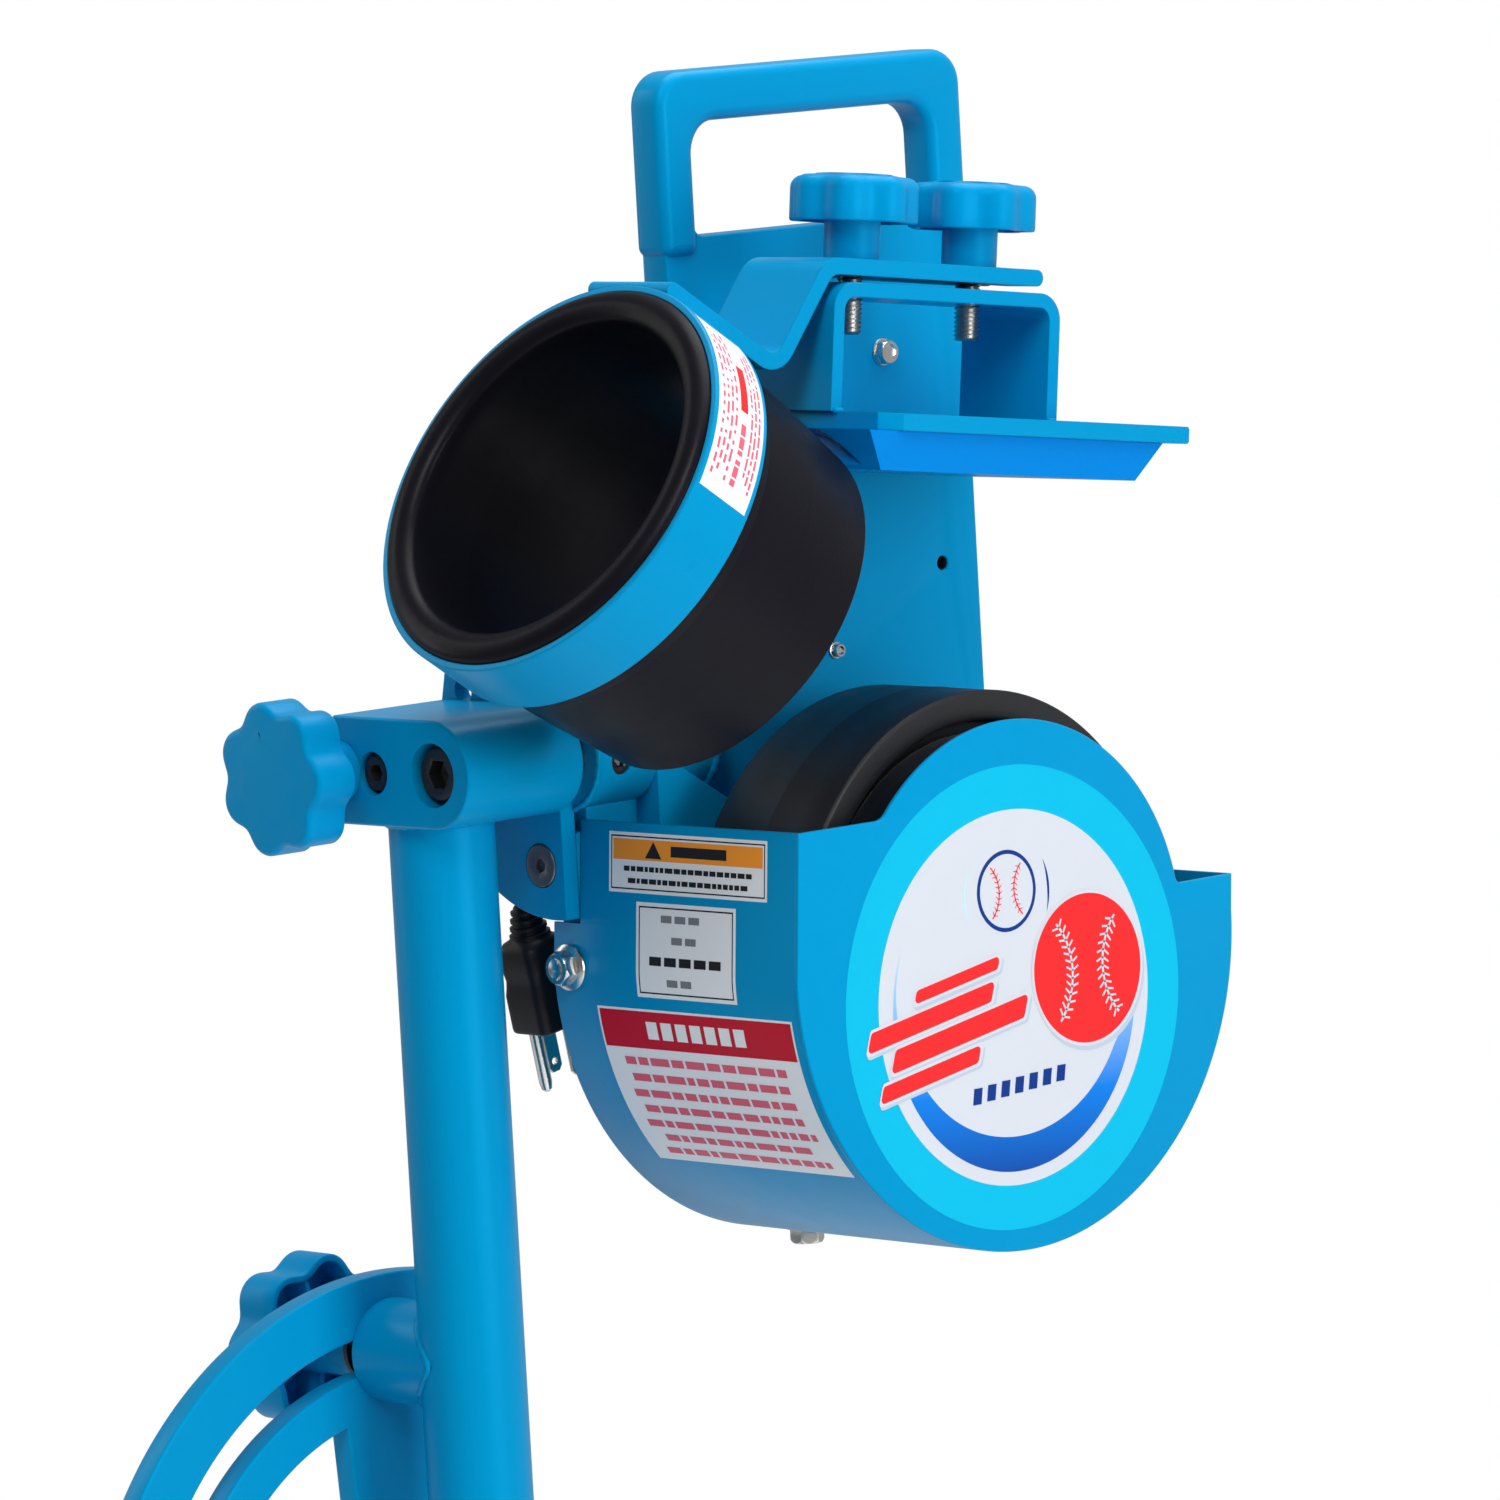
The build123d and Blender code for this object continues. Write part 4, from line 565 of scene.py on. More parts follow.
# ================================================================== ball chute
TUBE = aim(CHUTE, 0, 0, 0, (1, 0, 0), up=(0, 0, 1))   # local X up, local Y to -Y side, local Z along the bore
CHUTE_M = CHUTE.copy()
prof = rounded([(73.5, 0.6), (73.5, 29.0), (72.6, 31.0), (71.2, 36.0), (69.4, 62.0), (66.2, 95.4), (60.6, 95.4), (61.6, 70.0), (62.0, 30.0), (61.3, 9.0)],
               [0, 0.6, 1.0, 3, 12, 1.6, 1.4, 8, 10, 0], 5)
lipp = [(61.1 + 0.0, 6.0)] + [(67.6 - 6.2 * math.cos(t), 2.2 - 4.6 * math.sin(t)) for t in np.linspace(0.15, math.pi - 0.1, 14)]
tube_prof = prof + lipp
piece("chute_rubber", [lathe(tube_prof + [tube_prof[0]], 224)], TUBE, rubber, "chute", ["chute_tube"], angle=40)
bp = [(73.62, 1.3), (73.9, 1.0), (75.7, 1.0), (76.2, 1.5), (76.2, 28.0), (75.8, 28.5), (73.9, 28.5), (73.62, 28.2)]
piece("chute_clamp_band", [lathe(bp + [bp[0]], 224)], TUBE, paint, "chute", ["chute_band"])

# band label: a strip of the cylinder
LAB = []


def patch(fn, u0, u1, v0, v1, nu, nv, off, mi):
    V, F = [], []
    for i in range(nu + 1):
        for j in range(nv + 1):
            V.append(fn(u0 + (u1 - u0) * i / nu, v0 + (v1 - v0) * j / nv, off))
    for i in range(nu):
        for j in range(nv):
            a = i * (nv + 1) + j
            F.append((a, a + 1, a + nv + 2, a + nv + 1))
    LAB.append((np.array(V), F, mi))


def band_pt(th, s, off):
    a = math.radians(th)          # 0 = up, 90 = towards -Y
    r = 76.2 + off
    return (r * math.cos(a), r * math.sin(a), s)


rng = np.random.default_rng(7)


def text_rows(fn, u0, u1, v0, v1, rows, mi, off=0.09, fill=0.5, step=0.35, widths=(2.0, 6.0), scale_u=1.0, centre=True):
    """Rows of short blank bars, running along u, stacked along v; they stand for small print and hold no letters."""
    pitch = (v1 - v0) / rows
    for r in range(rows):
        vc = v0 + pitch * (r + 0.5)
        total = (u1 - u0) * (0.80 + 0.18 * rng.random())
        a = u0 + ((u1 - u0) - total) * (0.5 if centre else 0.0)
        end = a + total
        while a < end - widths[0] * scale_u * 0.5:
            w = min((widths[0] + (widths[1] - widths[0]) * rng.random()) * scale_u, end - a)
            patch(fn, a, a + w, vc - pitch * fill / 2, vc + pitch * fill / 2, 1, 1, off, mi)
            a += w + step * 2.2 * scale_u


# u = angle, v = s along the bore
du = 1 / (76.2 * math.pi / 180)   # degrees per mm
patch(band_pt, 30.5, 90.0, 2.6, 26.4, 42, 2, 0.05, 0)
text_rows(lambda u, v, o: band_pt(u, v, o), 33.0, 88.0, 4.2, 13.2, 4, 1, scale_u=du, widths=(2.5, 6.5), step=0.8)
patch(band_pt, 47.0, 63.0, 14.2, 18.0, 10, 1, 0.09, 2)
text_rows(band_pt, 65.0, 87.5, 14.0, 18.2, 1, 1, scale_u=du, widths=(3, 6), fill=0.6)
text_rows(band_pt, 36.0, 86.0, 19.2, 25.2, 3, 1, scale_u=du, widths=(2.5, 6), fill=0.5)
V, F, I = merge(LAB)
from_data("chute_label", V, F, TUBE, [label_white, pink_ink, red], "chute", mat_index=I)

# ================================================================== wheel
WH = aim(HEAD, 0, 46, 0, (0, 1, 0), up=(0, 0, 1))
hw = 28.4
tp = [(76.0, -19.4), (79.6, -19.4), (80.6, -20.4), (80.6, -27.2), (81.2, -28.1), (82.2, -28.4), (84.4, -28.42), (86.0, -28.42),
      (87.8, -28.41), (89.6, -28.4)] + [(89.9 + 1.55 * math.sin(t), -26.85 - 1.55 * math.cos(t)) for t in np.linspace(0.15, 1.45, 6)]
tp += [(91.42, -14), (91.5, -1.2), (91.62, -0.4), (91.62, 0.4), (91.5, 1.2), (91.42, 14)]
tp += [(r, -z) for r, z in reversed(tp[:16])]
piece("tyre_visual", [lathe(tp + [tp[0]], 288)], WH, tyre_mat, "wheel", ["tyre"], angle=40)

# ================================================================== wheel guard
R_G = 109.1


def guard_path():
    p0, p1 = np.array((-104.6, 53.2)), np.array((-109.1, 0.0))
    out = []
    nl = np.array((-53.2, 4.5)) / math.hypot(53.2, 4.5)
    for i in range(13):
        out.append((p0 + (p1 - p0) * i / 12, nl))
    for i in range(1, 121):
        a = math.radians(180 + 180 * i / 120)
        out.append((np.array((R_G * math.cos(a), R_G * math.sin(a))), np.array((math.cos(a), math.sin(a)))))
    q0, q1 = np.array((R_G, 0.0)), np.array((110.2, 13.4))
    nr = np.array((13.4, -1.1)) / math.hypot(13.4, 1.1)
    for i in range(1, 4):
        out.append((q0 + (q1 - q0) * i / 3, nr))
    return out


def wall_rings(path):
    rings = []
    for p, n in path:
        yb = 114.0 if p[1] > 16.0 and p[0] < 0 else 128.0
        cs = [(0.03, 0.8), (0.0, 2.2), (0.0, 60.0), (0.0, yb - 0.5), (0.15, yb - 0.15), (0.5, yb), (1.5, yb), (1.85, yb - 0.15), (2.0, yb - 0.5),
              (2.0, 60.0), (2.0, 2.4), (1.9, 0.8)]
        rings.append([(p[0] - n[0] * d, y, p[1] - n[1] * d) for d, y in cs])
    return rings


gp = guard_path()
# a clean step where the wall is notched for the index sector
path2 = []
for i, (p, n) in enumerate(gp):
    path2.append((p, n))
    if i + 1 < len(gp):
        q, m = gp[i + 1]
        if p[0] < 0 and p[1] > 16.0 >= q[1] and q[0] < 0 and abs(p[0]) > 100:
            t = (p[1] - 16.02) / (p[1] - q[1])
            path2.append((p + (q - p) * t, n))
            t = (p[1] - 15.98) / (p[1] - q[1])
            path2.append((p + (q - p) * t, n))
wall = loft_data([np.array(r) for r in wall_rings(path2)], cap0=True, cap1=True)
dc, dr = (-0.8, -1.9), 83.7
ga = dc[0] - math.sqrt(dr ** 2 - (53.1 - dc[1]) ** 2)
gb = dc[0] + math.sqrt(dr ** 2 - (13.3 - dc[1]) ** 2)
a_s = math.degrees(math.atan2(53.1 - dc[1], ga - dc[0]))
a_e = math.degrees(math.atan2(13.3 - dc[1], gb - dc[0]))
dome = arc(dc[0], dc[1], dr, a_s, a_e, 90)
left = rounded([(-104.6, 53.15), dome[0], dome[3]], [0, 9.0, 0], 8)
right = rounded([dome[-3], dome[-1], (110.15, 13.4)], [0, 4.0, 0], 6)
outer = left[:-1] + dome[3:-3] + right
outer += [(109.1 + 0.0, 0.0)] + arc(0, 0, R_G, 0, -180, 150)[1:]
front = plate_data(outer, [], 2.0, bevel=0.65, res=3)
FRONT = xz(HEAD, 1.0)
GUARD = [(place(front[0], FRONT), front[1]), (place(wall[0], HEAD), wall[1])]
# the nuts' tabs behind the guard bolts are plain wall, so only the skin is built here
Vg, Fg, Ig = merge(GUARD)
from_data("guard_shell", Vg, Fg, Matrix.Identity(4), paint, "head", ["wheel_guard"], mat_index=Ig, weld=1e-6, angle=30)

# ------------------------------------------------------------------ round decal: rings, a crescent and a plain ball in flight
DX, DZ = -3.7, -17.6
crescent_mat = material("ink_crescent", lin(0, 90, 200), 0.32, coat=0.06, coat_rough=0.08, spec=0.2, grain=(1500.0, 0.02), mottle=0.01, rough_var=0.04)
nt = crescent_mat.node_tree
sep = nt.nodes.new("ShaderNodeSeparateXYZ")
tcn = nt.nodes.new("ShaderNodeTexCoord")
nt.links.new(tcn.outputs["Object"], sep.inputs[0])
zr = nt.nodes.new("ShaderNodeMapRange")
zc = (HEAD @ Vector((DX, 0, DZ))).z
zr.inputs["From Min"].default_value = zc - 0.066
zr.inputs["From Max"].default_value = zc + 0.030
nt.links.new(sep.outputs["Z"], zr.inputs["Value"])
cr = nt.nodes.new("ShaderNodeValToRGB")
cr.color_ramp.elements[0].color = lin(6, 62, 150)
cr.color_ramp.elements[1].color = lin(180, 220, 245)
e = cr.color_ramp.elements.new(0.33)
e.color = lin(0, 118, 214)
nt.links.new(zr.outputs["Result"], cr.inputs["Fac"])
nt.links.new(cr.outputs["Color"], nt.nodes["Principled BSDF"].inputs["Base Color"])

DEC = []


def flat(pts, layer, mi):
    V = [(x, -0.06 - 0.05 * layer, z) for x, z in pts]
    DEC.append((np.array(V), [tuple(range(len(V)))], mi))


def strip(a, b, layer, mi):
    """Quads between two equally long point rows."""
    n = len(a)
    V = [(x, -0.06 - 0.05 * layer, z) for x, z in list(a) + list(b)]
    DEC.append((np.array(V), [(i, i + 1, n + i + 1, n + i) for i in range(n - 1)], mi))


def disc(cx, cz, r, layer, mi, n=128):
    flat(arc(cx, cz, r, 0, 360, n)[:-1], layer, mi)


disc(DX, DZ, 83.3, 0, 0, 220)
disc(DX, DZ, 67.4, 1, 1, 200)
# crescent
a = np.radians(np.linspace(152, 388, 150))
ro = 60.5
inner = []
outer_c = []
for t in a:
    x, z = math.cos(t), math.sin(t)
    outer_c.append((DX + ro * x, DZ - 2.0 + ro * z))
    w = max(0.0, (0.5 - 0.5 * math.sin(t))) ** 1.6
    edge = min(1.0, min(t - a[0], a[-1] - t) / 0.9)
    inner.append((DX + (ro - (0.4 + 12.2 * w) * edge) * x, DZ - 2.0 + (ro - (0.4 + 12.2 * w) * edge) * z))
strip(outer_c, inner, 2, 2)
# plain ball emblem above
bx, bz, br = DX - 1.5, DZ + 38.5, 13.2
disc(bx, bz, br + 1.5, 2, 3)
disc(bx, bz, br, 3, 1)
for s in (-1, 1):
    seam = arc(bx + s * br * 1.25, bz, br * 0.95, 180 - 46 if s > 0 else -46, 180 + 46 if s > 0 else 46, 30)
    seam_i = arc(bx + s * br * 1.25, bz, br * 0.95 + 0.55, 180 - 46 if s > 0 else -46, 180 + 46 if s > 0 else 46, 30)
    strip(seam, seam_i, 4, 4)
    for k in range(2, 29, 3):
        (x, z), (cx, cz) = seam[k], (bx + s * br * 1.25, bz)
        ux, uz = (x - cx) / math.hypot(x - cx, z - cz), (z - cz) / math.hypot(x - cx, z - cz)
        tx, tz = -uz, ux
        for sgn in (-1, 1):
            q0 = np.array((x + ux * 0.2, z + uz * 0.2))
            q1 = q0 + np.array((ux * 1.5 * sgn + tx * 0.9, uz * 1.5 * sgn + tz * 0.9))
            nrm = np.array((-(q1 - q0)[1], (q1 - q0)[0]))
            nrm = nrm / np.linalg.norm(nrm) * 0.18
            flat([tuple(q0 - nrm), tuple(q1 - nrm), tuple(q1 + nrm), tuple(q0 + nrm)], 4, 4)
# sweep lines either side of the emblem
for s in (-1, 1):
    a0, a1 = (150, 205) if s < 0 else (30, -25)
    o1 = arc(bx, bz - 1.0, 21.5, a0, a1, 24)
    i1 = [(bx + (21.5 - 1.1 * math.sin(math.pi * i / 24)) * math.cos(math.radians(a0 + (a1 - a0) * i / 24)),
           bz - 1.0 + (21.5 - 1.1 * math.sin(math.pi * i / 24)) * math.sin(math.radians(a0 + (a1 - a0) * i / 24))) for i in range(25)]
    strip(o1, i1, 2, 3 if s > 0 else 2)


# broad red motion bars with a pale edge and a soft shadow
def bar(x0, x1, z, h, slant, layer, mi, r=1.6):
    k = math.tan(math.radians(slant))
    pts = rounded_loop([(x0, z - h / 2), (x1, z - h / 2), (x1 + h * 0.35, z + h / 2), (x0 + h * 0.35, z + h / 2)], r, 4)
    flat([(x, zz + (x - DX) * k) for x, zz in pts], layer, mi)


bars = [(-74, -12, 5.5, 7.0), (-63, 4, -4.5, 8.0), (-69, -20, -14.5, 6.0), (-50, -8, 14.8, 4.6)]
for x0, x1, dz, h in bars:
    bar(DX + x0 - 0.7, DX + x1 + 1.9, DZ + dz - 1.4, h + 1.6, 10, 3, 5)
    bar(DX + x0 - 1.1, DX + x1 + 1.1, DZ + dz, h + 2.2, 10, 4, 1)
    bar(DX + x0, DX + x1, DZ + dz, h, 10, 5, 4)
cx, cz, crd = DX + 37.0, DZ + 6.0, 27.0
disc(cx + 0.8, cz - 1.6, crd + 1.2, 3, 5)
disc(cx, cz, crd + 1.2, 4, 1)
disc(cx, cz, crd, 5, 4)
for s in (-1, 1):
    c0 = (cx + s * crd * 1.22, cz)
    a0 = 180 - 44 if s > 0 else -44
    a1 = 180 + 44 if s > 0 else 44
    strip(arc(*c0, crd * 0.92, a0, a1, 40), arc(*c0, crd * 0.92 + 0.9, a0, a1, 40), 6, 1)
    sm = arc(*c0, crd * 0.92, a0, a1, 40)
    for k in range(2, 39, 3):
        x, z = sm[k]
        ux, uz = (x - c0[0]) / math.hypot(x - c0[0], z - c0[1]), (z - c0[1]) / math.hypot(x - c0[0], z - c0[1])
        tx, tz = -uz, ux
        for sgn in (-1, 1):
            q0 = np.array((x + ux * 0.4, z + uz * 0.4))
            q1 = q0 + np.array((ux * 3.0 * sgn + tx * 1.6, uz * 3.0 * sgn + tz * 1.6))
            nrm = np.array((-(q1 - q0)[1], (q1 - q0)[0]))
            nrm = nrm / np.linalg.norm(nrm) * 0.36
            flat([tuple(q0 - nrm), tuple(q1 - nrm), tuple(q1 + nrm), tuple(q0 + nrm)], 6, 1)
# a row of small navy lozenges below
for k in range(7):
    x = DX - 21.0 + 7.0 * k
    z = DZ - 31.5 + 0.07 * (x - DX)
    flat([(x - 2.6, z - 2.9), (x + 1.6, z - 2.9), (x + 2.6, z + 2.9), (x - 1.6, z + 2.9)], 3, 3)
V, F, I = merge(DEC)
shadow_ink = ink("shadow", lin(176, 190, 206))
from_data("guard_decal_print", V, F, HEAD, [cyan, white, crescent_mat, navy, red, shadow_ink], "head", ["guard_decal"], mat_index=I)

# ------------------------------------------------------------------ side labels on the wall (blank bars, no letters)
LAB.clear()
L0 = math.hypot(4.5, 53.2)


def wall_pt(y, s, off):
    if s <= L0:
        t = s / L0
        n = (-53.2 / L0, 4.5 / L0)
        return (-104.6 - 4.5 * t + n[0] * off, y, 53.2 * (1 - t) + n[1] * off)
    a = math.pi + (s - L0) / R_G
    return ((R_G + off) * math.cos(a), y, (R_G + off) * math.sin(a))


def lab(y0, y1, s0, s1, layer, mi, nv=1):
    patch(wall_pt, y0, y1, s0, s1, 1, max(nv, int(abs(s1 - s0) / 3)), 0.05 + 0.04 * layer, mi)


def outline(y0, y1, s0, s1, w, layer, mi):
    lab(y0, y1, s0, s0 + w, layer, mi)
    lab(y0, y1, s1 - w, s1, layer, mi)
    lab(y0, y0 - w, s0, s1, layer, mi)
    lab(y1 + w, y1, s0, s1, layer, mi)


# 0 white 1 black 2 orange 3 dark red 4 pink 5 grey
lab(98.5, 16.0, 3.4, 25.0, 0, 0)
outline(97.4, 17.1, 4.6, 23.8, 0.5, 1, 1)
lab(96.2, 18.3, 5.8, 13.2, 1, 2)
tri = [wall_pt(79.5, 12.4, 0.13), wall_pt(70.9, 12.4, 0.13), wall_pt(75.2, 6.4, 0.13)]
LAB.append((np.array(tri), [(0, 1, 2)], 1))
lab(66.0, 37.0, 7.6, 11.4, 2, 1)
text_rows(lambda u, v, o: wall_pt(114.0 - u, v, 0.13), 114.0 - 95.0, 114.0 - 19.5, 14.2, 22.8, 2, 1, widths=(1.6, 4.2), fill=0.42, step=0.3)
lab(84.0, 32.0, 28.0, 62.0, 0, 0)
outline(82.6, 33.4, 29.4, 60.6, 0.55, 1, 1)
for k, (w, h) in enumerate(((26, 2.6), (15, 2.6), (38, 3.2), (20, 2.6))):
    c = 33.6 + 7.6 * k
    if k == 2:
        for q in range(5):
            lab(58 + 19 - q * 7.8, 58 + 19 - q * 7.8 - 6.2, c - h / 2, c + h / 2, 1, 1)
    else:
        for q in range(int(w // 7)):
            lab(58 + w / 2 - q * 7.2, 58 + w / 2 - q * 7.2 - 5.6, c - h / 2, c + h / 2, 1, 5)
s0, s1 = 66.5, 132.0
lab(106.5, 5.0, s0, s1, 0, 0)
lab(105.6, 5.9, s0 + 0.9, s0 + 15.0, 1, 3)
for q in range(7):
    lab(82 - q * 7.6, 82 - q * 7.6 - 5.6, s0 + 4.6, s0 + 11.2, 2, 0)
text_rows(lambda u, v, o: wall_pt(110.0 - u, v, 0.12), 110.0 - 102.0, 110.0 - 9.0, s0 + 16.8, s1 - 2.0, 7, 4, widths=(3.2, 10.0), fill=0.46, step=0.6)
V, F, I = merge(LAB)
from_data("side_label_prints", V, F, HEAD, [label_white, black_ink, orange, dark_red, pink_ink, grey_ink], "head", ["side_labels"], mat_index=I)

# ================================================================== backplate and carrying handle
pl = [(-49.0, 266.0), (-49.0, 58.0), (-102.2, 57.6), (-107.0, 0.0)]
pl += [(x, z) for x, z in arc(0, 0, 107.0, 180, 360, 120)[1:]] + [(107.0, 11.0), (99.5, 22.0), (99.5, 266.0)]
pl += rounded([(84.9, 266.0), (84.9, 256.8), (-34.1, 256.8), (-34.1, 266.0)], [0, 9.0, 9.0, 0], 8)
holes = [arc(0, 0, 17.5, 0, 360, 48)[:-1], arc(81.2, 127.2, 2.6, 0, 360, 24)[:-1]]
body_plate = plate_data(pl, holes, 12.7, bevel=0.9, res=3)
loop_out = rounded_loop([(-50.4, 250.0), (-34.0, 250.0), (-34.0, 298.0), (84.8, 298.0), (84.8, 250.0), (101.9, 250.0), (101.9, 316.8), (-50.4, 316.8)],
                        [4, 4, 12, 12, 4, 4, 13, 13], 10)
loop = plate_data(loop_out, [], 17.7, bevel=4.2, res=6)
foot = plate_data(rounded_loop([(-106.9, 17.0), (-84.0, 17.0), (-84.0, 49.0), (-106.9, 49.0)], 2.0, 4), [], 23.6, bevel=0.8, res=2)
mid = 119.35
Vb, Fb, Ib = merge([(place(body_plate[0], xz(HEAD, mid)), body_plate[1]), (place(loop[0], xz(HEAD, mid)), loop[1]),
                    (place(foot[0], xz(HEAD, 126.1)), foot[1])])
from_data("backplate_casting", Vb, Fb, Matrix.Identity(4), paint, "head", ["backplate"], mat_index=Ib, weld=1e-6, angle=32)
# threads seen in the open hole
tv = thread(2.62, 0.6, 12.2, pitch=1.0, n=28, depth=-0.0 + 0.38, chamfer=0.0)
v = tv[0].copy()
rad = np.hypot(v[:, 0], v[:, 1])
piece("tapped_hole_thread", [(v, [f[::-1] for f in tv[1] if len(f) == 4])], aim(HEAD, 81.2, 113.0, 127.2, (0, 1, 0)), oxide, "head")

# ================================================================== screws and bolts
HW = []


def gather(data, M, mi=0):
    HW.append((place(data[0], M), data[1], mi))


def flush(name, mat, body, replaces, angle=28):
    V, F, I = merge(HW)
    HW.clear()
    return from_data(name, V, F, Matrix.Identity(4), mat, body, replaces, angle, I)


shank = lambda r, z0, z1: loft_data([ring_c(r, z0, 48), ring_c(r, z1, 48)], cap0=True, cap1=True)
for bx_, bz_, d, tw in ((-109.15, 0.0, (-1, 0, 0), 12), (0.0, -109.15, (0, 0, -1), 33), (109.85, 0.0, (1, 0, 0), 5)):
    m = aim(HEAD, bx_, 119.4, bz_, d, up=(0, 1, 0)) @ Matrix.Rotation(math.radians(tw), 4, "Z")
    gather(hex_head(11.0, 6.6, flange=8.5, flange_h=1.7, dish=0.9), m)
    gather(shank(3.0, -15.5, 0.3), m)
    # three raised grade marks on the head
    for q in range(3):
        a = math.radians(120 * q + 10)
        mk = plate_data([(-1.1, -0.22), (1.1, -0.22), (1.1, 0.22), (-1.1, 0.22)], [], 0.5, bevel=0.08, res=1)
        gather(mk, m @ Matrix.Translation((3.1 * math.cos(a), 3.1 * math.sin(a), 6.05)) @ Matrix.Rotation(a, 4, "Z"))
flush("guard_flange_bolts", zinc, "head", ["guard_bolts"])
for sx, sz, r, hd, tw in ((55.8, 207.6, 2.5, 5.1, 8), (-10.0, 207.6, 2.5, 5.1, 20), (23.9, 100.7, 2.0, 3.3, 3), (-10.0, 108.0, 2.0, 3.3, 17)):
    m = aim(HEAD, sx, 112.98, sz, (0, -1, 0), up=(0, 0, 1)) @ Matrix.Rotation(math.radians(tw), 4, "Z")
    gather(hex_head((hd - 1.0) * 2, 1.1 + hd * 0.65, flange=hd - 0.05, flange_h=0.9, dish=0.5), m)
    gather(shank(r, -15.0, 0.2), m)
flush("plate_hex_screws", zinc, "head", ["plate_screws"])
for k in range(4):
    a = math.radians(45 + 90 * k)
    m = aim(HEAD, 27 * math.cos(a), 112.98, 27 * math.sin(a), (0, -1, 0), up=(0, 0, 1))
    gather(socket_head(5.0, 4.0, 5.0, 2.6), m)
    gather(shank(3.0, -15.8, 0.2), m)
flush("motor_socket_screws", oxide, "head", ["motor_screws"])
m = aim(HEAD, -168.8 + 14.9, 119.4, 76.0, (-1, 0, 0), up=(0, 0, 1)) @ Matrix.Translation((0, 0, 1.95))
gather(socket_head(9.5, 10.3, 9.6, 6.2, chamfer=0.9), m)
gather(shank(5.0, -44.0, 0.2), m)
flush("spindle_socket_screw", oxide, "head", ["spindle_screw"])
m = aim(HEAD, -168.8 + 8.95, 151.5, 75.4, (-1, 0, 0), up=(0, 0, 1))
gather(socket_head(6.45, 7.5, 5.6, 4.2, chamfer=0.7), m)
gather(shank(4.0, -11.9, 0.2), m)
flush("housing_socket_screw", oxide, "mast", ["housing_clamp_screw"])
# countersunk socket screw in the index sector, with its shank
m = aim(HEAD, -113.9 + 2.6, 126.2, 37.0, (-1, 0, 0), up=(0, 0, 1)) @ Matrix.Rotation(0.3, 4, "Z")
gather(loft_data([ring_c(0.01, 0), ring_c(6.6, 0), ring_c(7.75, 1.9), ring_c(7.75, 2.6), ring_c(7.3, 3.0), ring_c(3.1, 3.1), hex_ring(4.9, 2.9), hex_ring(4.7, 2.5),
                  hex_ring(4.7, 0.9), ring_c(0.01, 0.5)]), m)
gather(shank(3.2, -15.3, 0.2), m)
flush("sector_countersunk_screw", material("grey_oxide", (0.16, 0.165, 0.175, 1.0), 0.36, metal=0.8, grain=(1500, 0.08), mottle=0.1),
      "head", ["sector_screw"])
m = aim(HEAD, -95.3, 104.9, 74.0, (0, -1, 0), up=(0, 0, 1))
gather(socket_head(5.0, 3.3, 5.0, 2.4, chamfer=0.5), m)
flush("tube_grub_screw", oxide, "head", ["tube_set_screw"])
for bx_ in (-19, 19):
    m = aim(STAND, bx_, 198.0, -56, (0, 1, 0), up=(0, 0, 1))
    gather(hex_head(13.0, 5.5, dish=0.8), m)
    gather(shank(4.0, -27.9, 0.2), m)
flush("quadrant_hex_bolts", zinc, "swivel", ["quadrant_bolts"])
m = aim(STAND, 0, 112.0, 0, (0, -1, 0), up=(0, 0, 1)) @ Matrix.Rotation(0.4, 4, "Z")
gather(hex_head(19.0, 8.0, dish=1.2), m)
gather(shank(6.3, -86.0, 0.2), m)
th = thread(6.3, 0, 15.0, pitch=1.75, n=48, depth=1.0)
gather(th, aim(STAND, 0, 198.0, 0, (0, 1, 0)))
flush("pivot_hex_bolt", zinc, "swivel", ["pivot_bolt"])
m = aim(STAND, 0, 198.0, 0, (0, 1, 0), up=(0, 0, 1))
gather(loft_data([ring_c(6.5, 0), ring_c(12.3, 0), ring_c(12.5, 0.3), ring_c(12.5, 1.7), ring_c(12.2, 2.0), ring_c(6.5, 2.0), ring_c(6.5, 0)]), m)
gather(loft_data([hex_ring(19.0, 2.0, cone=10.3), hex_ring(19.0, 2.7), hex_ring(19.0, 8.0), hex_ring(19.0, 9.0, cone=10.5), hex_ring(19.0, 9.9, cone=9.6),
                  ring_c(6.9, 10.0), ring_c(6.5, 9.4), ring_c(6.5, 2.0)]), m)
flush("pivot_lock_nut", zinc, "swivel", ["pivot_nut"])

# ================================================================== clamp knobs and threaded studs
KN = [("chute_knob_a_turn", "chute_knob_a", "chute_knob_left", 22.3, 1.4, 16.5, 10.0, 13.5, 0.25),
      ("chute_knob_b_turn", "chute_knob_b", "chute_knob_right", 22.3, 1.4, 16.5, 10.0, 13.5, 0.05)]
for jn, bd, nd, r0, am, hd, sr, sl, tw in KN:
    p = J[jn]["pos_m"]
    m = aim(Matrix.Diagonal((0.001, 0.001, 0.001, 1)), p[0] * 1000, p[1] * 1000, p[2] * 1000, tuple(PZ), up=tuple(PX)) @ Matrix.Rotation(tw, 4, "Z")
    piece(nd + "_moulding", knob_data(r0, am, hd, sr, sl), m, knob_mat, bd, [nd], angle=42, weld=0)
for kx in (STUD_A, STUD_A + 58.6):
    gather(thread(4.74, 28.0, 76.0), aim(PAD, kx, 46.0, 0.0, (0, 0, 1)))
flush("chute_threaded_studs", thread_mat, "head", ["chute_studs"], angle=50)


def lock_knob(name, m, r0, am, head, sr, sl, below, body, node, tw):
    piece(name, knob_data(r0, am, head, sr, sl, rad=2.6, crown=0.4), m @ Matrix.Rotation(tw, 4, "Z"), knob_mat, body, [node], angle=42, weld=0)
    t = thread(4.74, -below, 2.0)
    piece(name + "_stud", [t], m, thread_mat, body, angle=50, weld=0)


